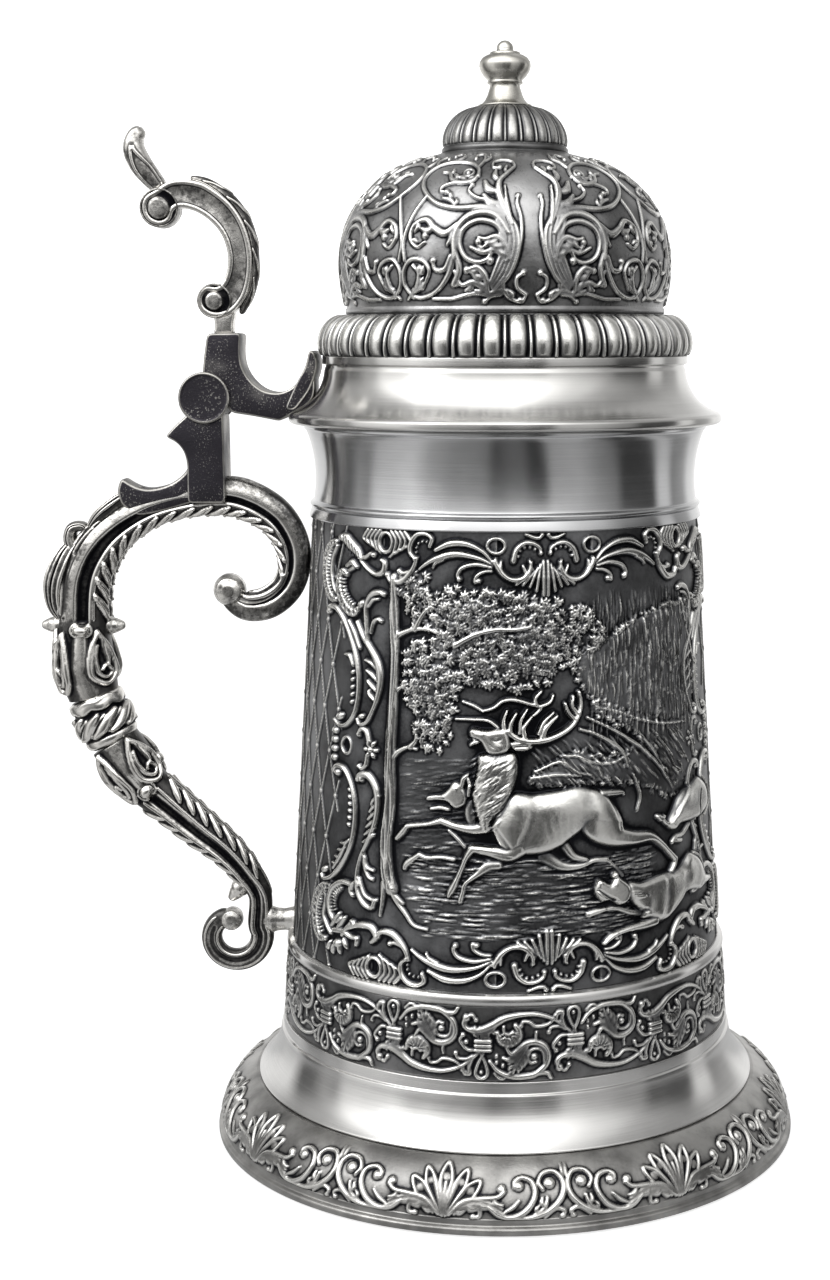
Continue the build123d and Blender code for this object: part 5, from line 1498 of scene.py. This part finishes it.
def make_shank():
    lever = plate("lever", [(-75.4, 195.0, 0), (-74.9, 199.6), (-74.0, 205.2, 0), (-65.6, 205.3, 0), (-65.9, 200.6),
        (-65.4, 197.0), (-63.6, 193.8), (-60.6, 191.3), (-56.8, 190.5), (-53.2, 191.8), (-50.6, 194.6),
        (-49.6, 197.6, 0), (-47.4, 196.0, 0), (-48.0, 189.0), (-53.6, 184.9, 0), (-54.9, 184.4), (-55.9, 183.4, 0),
        (-62.0, 184.6), (-68.4, 185.6, 0), (-71.0, 189.4)], 2 * HALF_THICK, 0.6)
    saddle = plate("saddle", [(-54.8, 186.6, 0), (-51.9, 192.8), (-49.6, 197.0), (-48.5, 201.4, 0), (-47.2, 200.6, 0),
        (-46.6, 197.0), (-48.6, 191.4), (-52.4, 186.2, 0)], 16.4, 0.5)
    parts = [lever, saddle]
    return joined("lid_shank_cast", parts + knuckles((1, 3)))


def make_thumb_lift():
    bow = plate("bow", [(-86.5, 240.2), (-83.4, 242.2), (-80.0, 242.8), (-76.4, 242.4), (-73.2, 241.2), (-67.8, 237.0),
        (-64.2, 231.0), (-62.8, 223.5), (-64.0, 215.5), (-67.6, 210.4), (-72.4, 209.0), (-76.0, 210.8), (-76.8, 214.2),
        (-74.6, 217.0), (-71.6, 216.6), (-69.6, 219.0), (-68.8, 224.0), (-70.4, 229.6), (-74.4, 233.8), (-79.0, 235.8),
        (-81.8, 235.4), (-82.6, 232.8), (-85.6, 231.4), (-89.0, 233.0), (-90.0, 236.6), (-88.8, 239.0)], 7.0, 0.6, 0.3,
        0.5)
    parts = [bow]
    outer = Arm([(-66.2, 210.0, 0.8), (-63.2, 216.5, 1.1), (-62.6, 223.5, 1.3), (-64.0, 231.2, 1.5),
        (-67.8, 237.4, 1.6), (-73.4, 241.8, 1.3), (-78.0, 243.4, 0.7)], -1, 1.9)
    for c in outer.carvers():
        for n in range(5):
            at = 3.0 + n * 7.0
            c.strand([(0.5, at), (4.5, at + 2.6), (8.5, at + 6.4)], [0.5, 1.1, 0.5], 1.1)
        c.groove([(9.5, 1), (9.5, outer.length - 1)], 0.7, 0.8)
    parts.append(outer.piece("leaf_back", (1.5, 1.5)))
    tail = Arm([(-85.4, 240.6, 2.0), (-87.8, 243.4, 2.6), (-90.4, 246.8, 2.9), (-91.9, 250.4, 2.8), (-91.3, 253.4, 2.2),
        (-89.4, 255.0, 1.6)], 1, 1.2)
    for c in tail.carvers():
        c.strand([(8.6, 1.5), (9.2, 6.0), (9.0, 10.5)], [0.5, 2.2, 0.6], -1.6, "soft", True)
        c.strand([(5.6, 1.0), (5.8, 6.0), (8.4, 11.6)], 0.7, 0.9)
        c.strand([(12.2, 1.0), (12.4, 6.0), (9.4, 11.6)], 0.7, 0.9)
    parts.append(tail.piece("leaf_tail", (1.2, 1.8), 0.1))
    for x, z, r, knob in ((-85.6, 235.9, 4.8, 2.7), (-72.4, 213.2, 4.3, 2.2)):
        profile = [(-4.6, 0.05), (-4.55, knob * 0.75), (-4.2, knob), (-3.4, knob), (-3.3, knob + 0.3), (-3.3, r - 0.6),
            (-3.7, r - 0.3), (-3.5, r)]
        profile += [(-y, s) for y, s in reversed(profile)]
        parts.append(along_y("roll", x, z, profile, worn=0.46, gap=(knob + 0.05, r - 0.5)))
    parts.append(plate("neck", [(-73.2, 205.0, 0), (-72.4, 207.0), (-73.0, 209.6, 0), (-67.2, 210.6, 0), (-68.0, 207.4),
        (-67.6, 205.0, 0)], 5.6, 0.7))
    return joined("thumb_lift_cast", parts)


# ---- Finishes -----------------------------------------------------------------------------------------------------

class Socket:
    """An output of a shader node that can be used in arithmetic."""

    def __init__(self, finish, output):
        self.finish, self.output = finish, output

    def combine(self, operation, first, second):
        kind = "Math" if self.output.type in ("VALUE", "INT") else "VectorMath"
        return self.finish.node(kind, {"operation": operation}, {0: first, 1: second})

    def __add__(self, other):
        return self.combine("ADD", self, other)

    def __radd__(self, other):
        return self.combine("ADD", other, self)

    def __sub__(self, other):
        return self.combine("SUBTRACT", self, other)

    def __rsub__(self, other):
        return self.combine("SUBTRACT", other, self)

    def __mul__(self, other):
        return self.combine("MULTIPLY", self, other)

    def __rmul__(self, other):
        return self.combine("MULTIPLY", other, self)

    def between(self, low, high):
        """0 under low and 1 over high, smooth in between."""
        return self.finish.node("MapRange", {"interpolation_type": "SMOOTHSTEP"},
                                {"Value": self, "From Min": low, "From Max": high})

    def blend(self, dark, bright):
        """The colour between two, by this value."""
        return self.finish.node("Mix", {"data_type": "RGBA", "clamp_factor": False},
                                {"Factor": self, 6: dark, 7: bright}, 2)


class Finish:
    """A metal finish under construction."""

    def __init__(self, name, **settings):
        self.material = bpy.data.materials.new(name)
        self.material.use_nodes = True
        self.tree = self.material.node_tree
        self.shader = next(n for n in self.tree.nodes if n.type == "BSDF_PRINCIPLED")
        for key, value in settings.items():
            self.feed(self.shader.inputs[key.replace("_", " ")], value)

    def feed(self, slot, value):
        if isinstance(value, Socket):
            self.tree.links.new(value.output, slot)
        elif slot.type == "RGBA":
            slot.default_value = (*value, 1)
        else:
            slot.default_value = value

    def node(self, kind, settings, inputs, output=0):
        node = self.tree.nodes.new("ShaderNode" + kind)
        for key, value in settings.items():
            setattr(node, key, value)
        for key, value in inputs.items():
            self.feed(node.inputs[key], value)
        return Socket(self, node.outputs[output])

    def place(self):
        return self.node("TexCoord", {}, {}, "Object")

    def noise(self, scale, detail=3.0, at=None, rough=0.5):
        return self.node("TexNoise", {}, {"Vector": at or self.place(), "Scale": scale, "Detail": detail,
                                          "Roughness": rough})

    def worn(self):
        return self.node("Attribute", {"attribute_name": "worn"}, {}, "Fac")

    def rings(self, scale):
        """Noise drawn out into fine rings round the vessel's axis, as a lathe tool leaves."""
        return self.noise(1.0, 4.0, self.place() * (scale * 0.004, scale * 0.004, scale), 0.6)

    def bump(self, height, strength, distance):
        return self.node("Bump", {}, {"Strength": strength, "Distance": distance, "Height": height})

    def done(self, **links):
        for key, value in links.items():
            self.feed(self.shader.inputs[key.replace("_", " ")], value)
        return self.material


def scaled(colour, by):
    return tuple(c * by for c in colour)


PATINA = (0.012, 0.0125, 0.015)
RUBBED = (0.78, 0.775, 0.75)


def cast_relief(name, ground, rough=0.36):
    """Antiqued casting: black beside everything that stands up, mottled satin ground, and high parts rubbed bright."""
    f = Finish(name, Metallic=1.0)
    grain = f.noise(1300.0, 4.0, rough=0.7)
    cloud = f.noise(130.0, 4.0)
    stain = f.noise(28.0, 2.0)
    worn = f.worn() + (grain - 0.5) * 0.2 + (cloud - 0.5) * 0.14
    high = worn.between(0.5, 0.86)
    deep = worn.between(0.14, 0.44)
    field = (cloud * 0.5 + stain * 0.5).between(0.36, 0.66).blend(scaled(ground, 0.55), scaled(ground, 1.3))
    return f.done(
        Base_Color=high.blend(deep.blend(PATINA, field), RUBBED),
        Roughness=high * (0.2 - rough) + rough + (grain - 0.5) * 0.2,
        Normal=f.bump(grain + cloud * 0.6, 0.4, 0.00012))


def turned_metal(name, colour, roughness, streaks):
    """Bright turned pewter with fine tool rings; its highlights are drawn out up the wall."""
    f = Finish(name, Metallic=1.0, Anisotropic=0.95, Anisotropic_Rotation=0.25)
    rings = f.rings(5200.0)
    cloud = f.noise(45.0, 3.0)
    dull = (cloud + (rings - 0.5) * 0.5).between(0.35, 0.75)
    return f.done(
        Base_Color=dull.blend(scaled(colour, 0.86), colour),
        Roughness=dull * 0.05 + (rings - 0.5) * streaks + roughness,
        Normal=f.bump(rings, 0.12, 0.00004))


def cast_handle(name):
    """Polished casting with black left in its pits and channels and beside its leaves."""
    f = Finish(name, Metallic=1.0)
    grain = f.noise(1100.0, 4.0, rough=0.7)
    cloud = f.noise(210.0, 4.0, rough=0.6)
    worn = f.worn() + (grain - 0.5) * 0.3 + (cloud - 0.5) * 0.42
    high = worn.between(0.38, 0.58)
    deep = worn.between(0.08, 0.38)
    return f.done(
        Base_Color=high.blend(deep.blend((0.008, 0.008, 0.01), (0.09, 0.088, 0.086)), (0.8, 0.785, 0.755)),
        Roughness=high * -0.22 + 0.38 + (grain - 0.5) * 0.2,
        Normal=f.bump(grain + cloud * 0.7, 0.4, 0.00014))


def dark_casting(name):
    """Rough dark faces with small bright pits; the edges are rubbed bright."""
    f = Finish(name, Metallic=1.0)
    grain = f.noise(2400.0, 2.0)
    cloud = f.noise(110.0, 3.0)
    edge = (f.worn() + (cloud - 0.5) * 0.7).between(0.6, 1.0) * 0.75
    speck = grain.between(0.58, 0.72) * cloud.between(0.38, 0.62) * 0.75
    mask = edge + (1 - edge) * speck
    return f.done(
        Base_Color=mask.blend((0.05, 0.047, 0.056), (0.6, 0.585, 0.55)),
        Roughness=mask * -0.2 + 0.48 + (cloud - 0.5) * 0.2,
        Normal=f.bump(grain + f.noise(500.0, 3.0) * 0.8, 0.45, 0.00016))


def bright_knob(name):
    f = Finish(name, Metallic=1.0, Anisotropic=0.4, Anisotropic_Rotation=0.25)
    rings = f.rings(4200.0)
    cloud = f.noise(260.0, 3.0)
    mask = (cloud + (rings - 0.5) * 0.4).between(0.2, 0.8)
    return f.done(
        Base_Color=mask.blend((0.44, 0.43, 0.395), (0.74, 0.725, 0.68)),
        Roughness=mask * -0.08 + 0.3,
        Normal=f.bump(rings, 0.15, 0.00005))


def plain_steel(name):
    f = Finish(name, Metallic=1.0)
    grain = f.noise(800.0, 3.0)
    return f.done(
        Base_Color=grain.between(0.3, 0.7).blend((0.36, 0.36, 0.37), (0.52, 0.52, 0.53)),
        Roughness=grain * 0.2 + 0.26,
        Normal=f.bump(f.noise(1800.0, 2.0), 0.15, 0.00006))


# ---- Assembly -----------------------------------------------------------------------------------------------------

DRUM_PEWTER = cast_relief("drum_relief_pewter", (0.17, 0.172, 0.178))
# The dome's ground is lighter than the drum's: partly its own wear, partly a painted sheen of the light over it
DOME_PEWTER = cast_relief("dome_relief_pewter", (0.36, 0.36, 0.362), 0.3)
FOOT_PEWTER = cast_relief("foot_relief_pewter", (0.36, 0.355, 0.345), 0.32)
FRIEZE_PEWTER = cast_relief("frieze_relief_pewter", (0.2, 0.2, 0.202))
RIB_PEWTER = cast_relief("rib_pewter", (0.2, 0.2, 0.2))
COLLAR_PEWTER = turned_metal("collar_pewter", (0.62, 0.625, 0.635), 0.17, 0.06)
SKIRT_PEWTER = turned_metal("skirt_pewter", (0.72, 0.715, 0.7), 0.19, 0.08)
FOOT_TURNED = turned_metal("foot_turned_pewter", (0.74, 0.735, 0.725), 0.18, 0.06)
HANDLE_PEWTER = cast_handle("handle_pewter")
LIFT_PEWTER = cast_handle("thumb_lift_pewter")
DARK_PEWTER = dark_casting("dark_cast_pewter")
KNOB = bright_knob("knob_pewter")
STEEL = plain_steel("pin_steel")
FLOOR_METAL = turned_metal("floor_plate_pewter", (0.55, 0.55, 0.55), 0.34, 0.1)


def fit(piece, body, slot, finish, *nodes):
    """Gives a piece its finish and the body that it rides on, and hides the CAD nodes that it stands for."""
    piece.data.materials.clear()
    piece.data.materials.append(finish)
    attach(piece, body)
    if nodes:
        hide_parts(*nodes)


fit(make_foot_rim(), "body", "cast_relief_pewter", FOOT_PEWTER, "foot_rim")
fit(make_flare(), "body", "turned_pewter", FOOT_TURNED, "foot_flare")
fit(make_frieze(), "body", "cast_relief_pewter", FRIEZE_PEWTER, "frieze_ring")
fit(make_fillet(), "body", "turned_pewter", FOOT_TURNED, "base_fillet")
fit(make_drum(), "body", "cast_relief_pewter", DRUM_PEWTER, "relief_drum")
fit(make_collar(), "body", "turned_pewter", COLLAR_PEWTER, "mouth_collar")
fit(make_lid_skirt(), "lid", "turned_pewter", SKIRT_PEWTER, "lid_skirt")
fit(make_gadroons(), "lid", "cast_relief_pewter", RIB_PEWTER, "gadroon_ring")
fit(make_dome(), "lid", "cast_relief_pewter", DOME_PEWTER, "lid_dome")
fit(make_cap(), "lid", "cast_relief_pewter", RIB_PEWTER, "fluted_cap")
fit(make_finial(), "lid", "bright_knob_pewter", KNOB, "finial")
fit(make_upper_arm(), "body", "cast_handle_pewter", HANDLE_PEWTER, "handle_upper_arm")
fit(make_rope_collar(), "body", "cast_handle_pewter", HANDLE_PEWTER, "handle_rope_collar")
fit(make_lower_arm(), "body", "cast_handle_pewter", HANDLE_PEWTER, "handle_lower_arm")
fit(make_strut(), "body", "cast_handle_pewter", HANDLE_PEWTER, "handle_strut")
fit(make_post(), "body", "dark_rough_pewter", DARK_PEWTER, "hinge_post")
fit(make_hinge_cap("hinge_cap_front_disc", -1), "body", "dark_rough_pewter", DARK_PEWTER, "hinge_cap_front")
fit(make_hinge_cap("hinge_cap_back_disc", 1), "body", "dark_rough_pewter", DARK_PEWTER, "hinge_cap_back")
fit(make_shank(), "lid", "dark_rough_pewter", DARK_PEWTER, "lid_shank")
fit(make_thumb_lift(), "lid", "cast_handle_pewter", LIFT_PEWTER, "thumb_lift")

for node, finish in (("hinge_pin", STEEL), ("finial_stud", STEEL), ("finial_washer", STEEL), ("finial_nut", STEEL),
                     ("floor_plate", FLOOR_METAL)):
    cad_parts[node].data.materials.clear()
    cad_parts[node].data.materials.append(finish)


# ---- Studio -------------------------------------------------------------------------------------------------------

def glowing(name, colour, strength):
    """A matt colour that glows, hardly mottled."""
    f = Finish(name, Roughness=0.8, Specular_IOR_Level=0.1, Base_Color=colour, Emission_Strength=strength)
    return f.done(Emission_Color=f.noise(30.0, 2.0).blend(scaled(colour, 0.99), colour))


# What the metal mirrors: panels round the room at table height, and the big soft light over the front left, each as
# (degrees round from the front, brightness).
PANELS = [(-180, 1.1), (-150, 1.05), (-124, 1.05), (-114, 0.12), (-104, 0.18), (-96, 0.45), (-88, 0.35), (-82, 0.85),
    (-56, 1.0), (-46, 0.62), (-30, 0.4), (-18, 0.36), (-12, 0.3), (-6, 0.09), (4, 0.2), (10, 0.2), (16, 0.05),
    (23, 0.04), (28, 0.55), (44, 0.62), (56, 0.42), (68, 0.3), (74, 0.07), (98, 0.07), (104, 0.9), (112, 0.9),
    (118, 0.36), (132, 0.5), (142, 1.05), (180, 1.1)]
OVERHEAD = [(-180, 0.5), (-150, 0.35), (-128, 0.35), (-112, 0.6), (-100, 0.6), (-92, 1.0), (-84, 1.9), (-30, 2.2),
    (22, 2.2), (34, 1.7), (46, 1.2), (60, 1.0), (70, 0.6), (82, 0.5), (96, 0.4), (110, 0.35), (130, 0.6), (150, 0.6),
    (180, 0.5)]


# The room is a ball round a point over the table, in millimetres, of so many panels round
ROOM_RADIUS, ROOM_CENTRE, ROOM_PANELS = 1800, 120, 180


def glow(azimuth, elevation):
    """How bright the room is in a direction, in degrees."""
    side = np.interp(azimuth, *np.array(PANELS).T)
    high = np.interp(azimuth, *np.array(OVERHEAD).T)
    share = np.clip((elevation - 5) / 28, 0, 1)
    share = share * share * (3 - 2 * share)
    low = np.clip((elevation + 14) / 14, 0, 1)
    return (side * (1 - share) + high * share) * (0.72 + 0.28 * low)


def make_room():
    """A round room, seen only in the metal, whose brightness is the attribute its material reads."""
    azimuth = np.arange(ROOM_PANELS) / ROOM_PANELS * 360 - 180
    rows, tones = [], []
    for elevation in np.arange(-66, 88, 3.5):
        a, e = np.radians(azimuth), math.radians(elevation)
        way = np.stack([np.sin(a) * math.cos(e), -np.cos(a) * math.cos(e), 0 * a + math.sin(e)], 1)
        rows.append(way * ROOM_RADIUS + (0, 0, ROOM_CENTRE))
        tones.append(glow(azimuth, elevation))
    obj = grid_piece("room", np.array(rows), np.array(tones), loop=False)
    obj.visible_camera = obj.visible_diffuse = obj.visible_shadow = False
    finish = Finish("room_panels", Base_Color=(0, 0, 0), Roughness=1.0, Specular_IOR_Level=0.0, Emission_Strength=1.0)
    tone = finish.worn()
    obj.data.materials.append(finish.done(Emission_Color=tone.blend((0, 0, 0), (1.0, 0.995, 0.985))))


def softbox(name, centre, wide, tall, power):
    """A soft lamp that faces the vessel's middle."""
    data = bpy.data.lights.new(name, "AREA")
    data.shape, data.size, data.size_y, data.energy = "RECTANGLE", wide, tall, power
    obj = bpy.data.objects.new(name, data)
    obj.location = centre
    obj.rotation_euler = (Vector((0, 0, 0.13)) - Vector(centre)).to_track_quat("-Z", "Y").to_euler()
    obj.visible_camera = False
    bpy.context.scene.collection.objects.link(obj)


def flat_stage(name, shape, material, **seen):
    """A plain piece of the studio; seen says which kinds of ray miss it."""
    mesh = bpy.data.meshes.new(name)
    mesh.from_pydata(shape[0], [], shape[1])
    mesh.materials.append(material)
    obj = bpy.data.objects.new(name, mesh)
    bpy.context.scene.collection.objects.link(obj)
    for key, value in seen.items():
        setattr(obj, key, value)


def square(half, z):
    """Points of a level square, and its face."""
    return [(-half, -half, z), (half, -half, z), (half, half, z), (-half, half, z)], [(0, 1, 2, 3)]


def ring_wall(radius, low, high, count=48):
    """Points of an open round wall, and its faces."""
    a = np.arange(count) / count * math.tau
    points = [(radius * math.cos(k), radius * math.sin(k), z) for z in (low, high) for k in a]
    return points, [(n, (n + 1) % count, count + (n + 1) % count, count + n) for n in range(count)]


flat_stage("floor", square(6.0, -0.0004), glowing("pale_floor", (0.9, 0.9, 0.9), 0.8), visible_glossy=False)
flat_stage("table_card", square(0.15, -0.0008), glowing("table_card_grey", (0.36, 0.36, 0.36), 0.36),
           visible_camera=False, visible_diffuse=False)
flat_stage("backdrop", ring_wall(5.5, -1.0, 6.0), glowing("backdrop_white", (1, 1, 1), 1.0),
           visible_glossy=False, visible_diffuse=False, visible_shadow=False)

world = bpy.data.worlds.new("studio")
world.use_nodes = True
world.node_tree.nodes["Background"].inputs["Color"].default_value = (0.5, 0.5, 0.5, 1)
bpy.context.scene.world = world

make_room()
softbox("soft_left", (-0.9, -0.7, 1.1), 0.7, 0.7, 5)

# The lens is level across and tilted down a little; the vessel stands right of the middle, for its handle.
camera_data = bpy.data.cameras.new("camera")
DOWN_TILT = 8.69
camera_data.lens = 56.5875
camera_data.shift_x = -0.0703125
camera = bpy.data.objects.new("camera", camera_data)
camera.location = (0, -0.5112, 0.2054)
camera.rotation_euler = (math.radians(90 - DOWN_TILT), 0, 0)
bpy.context.scene.collection.objects.link(camera)
bpy.context.scene.camera = camera
bpy.context.scene.view_settings.view_transform = "Standard"
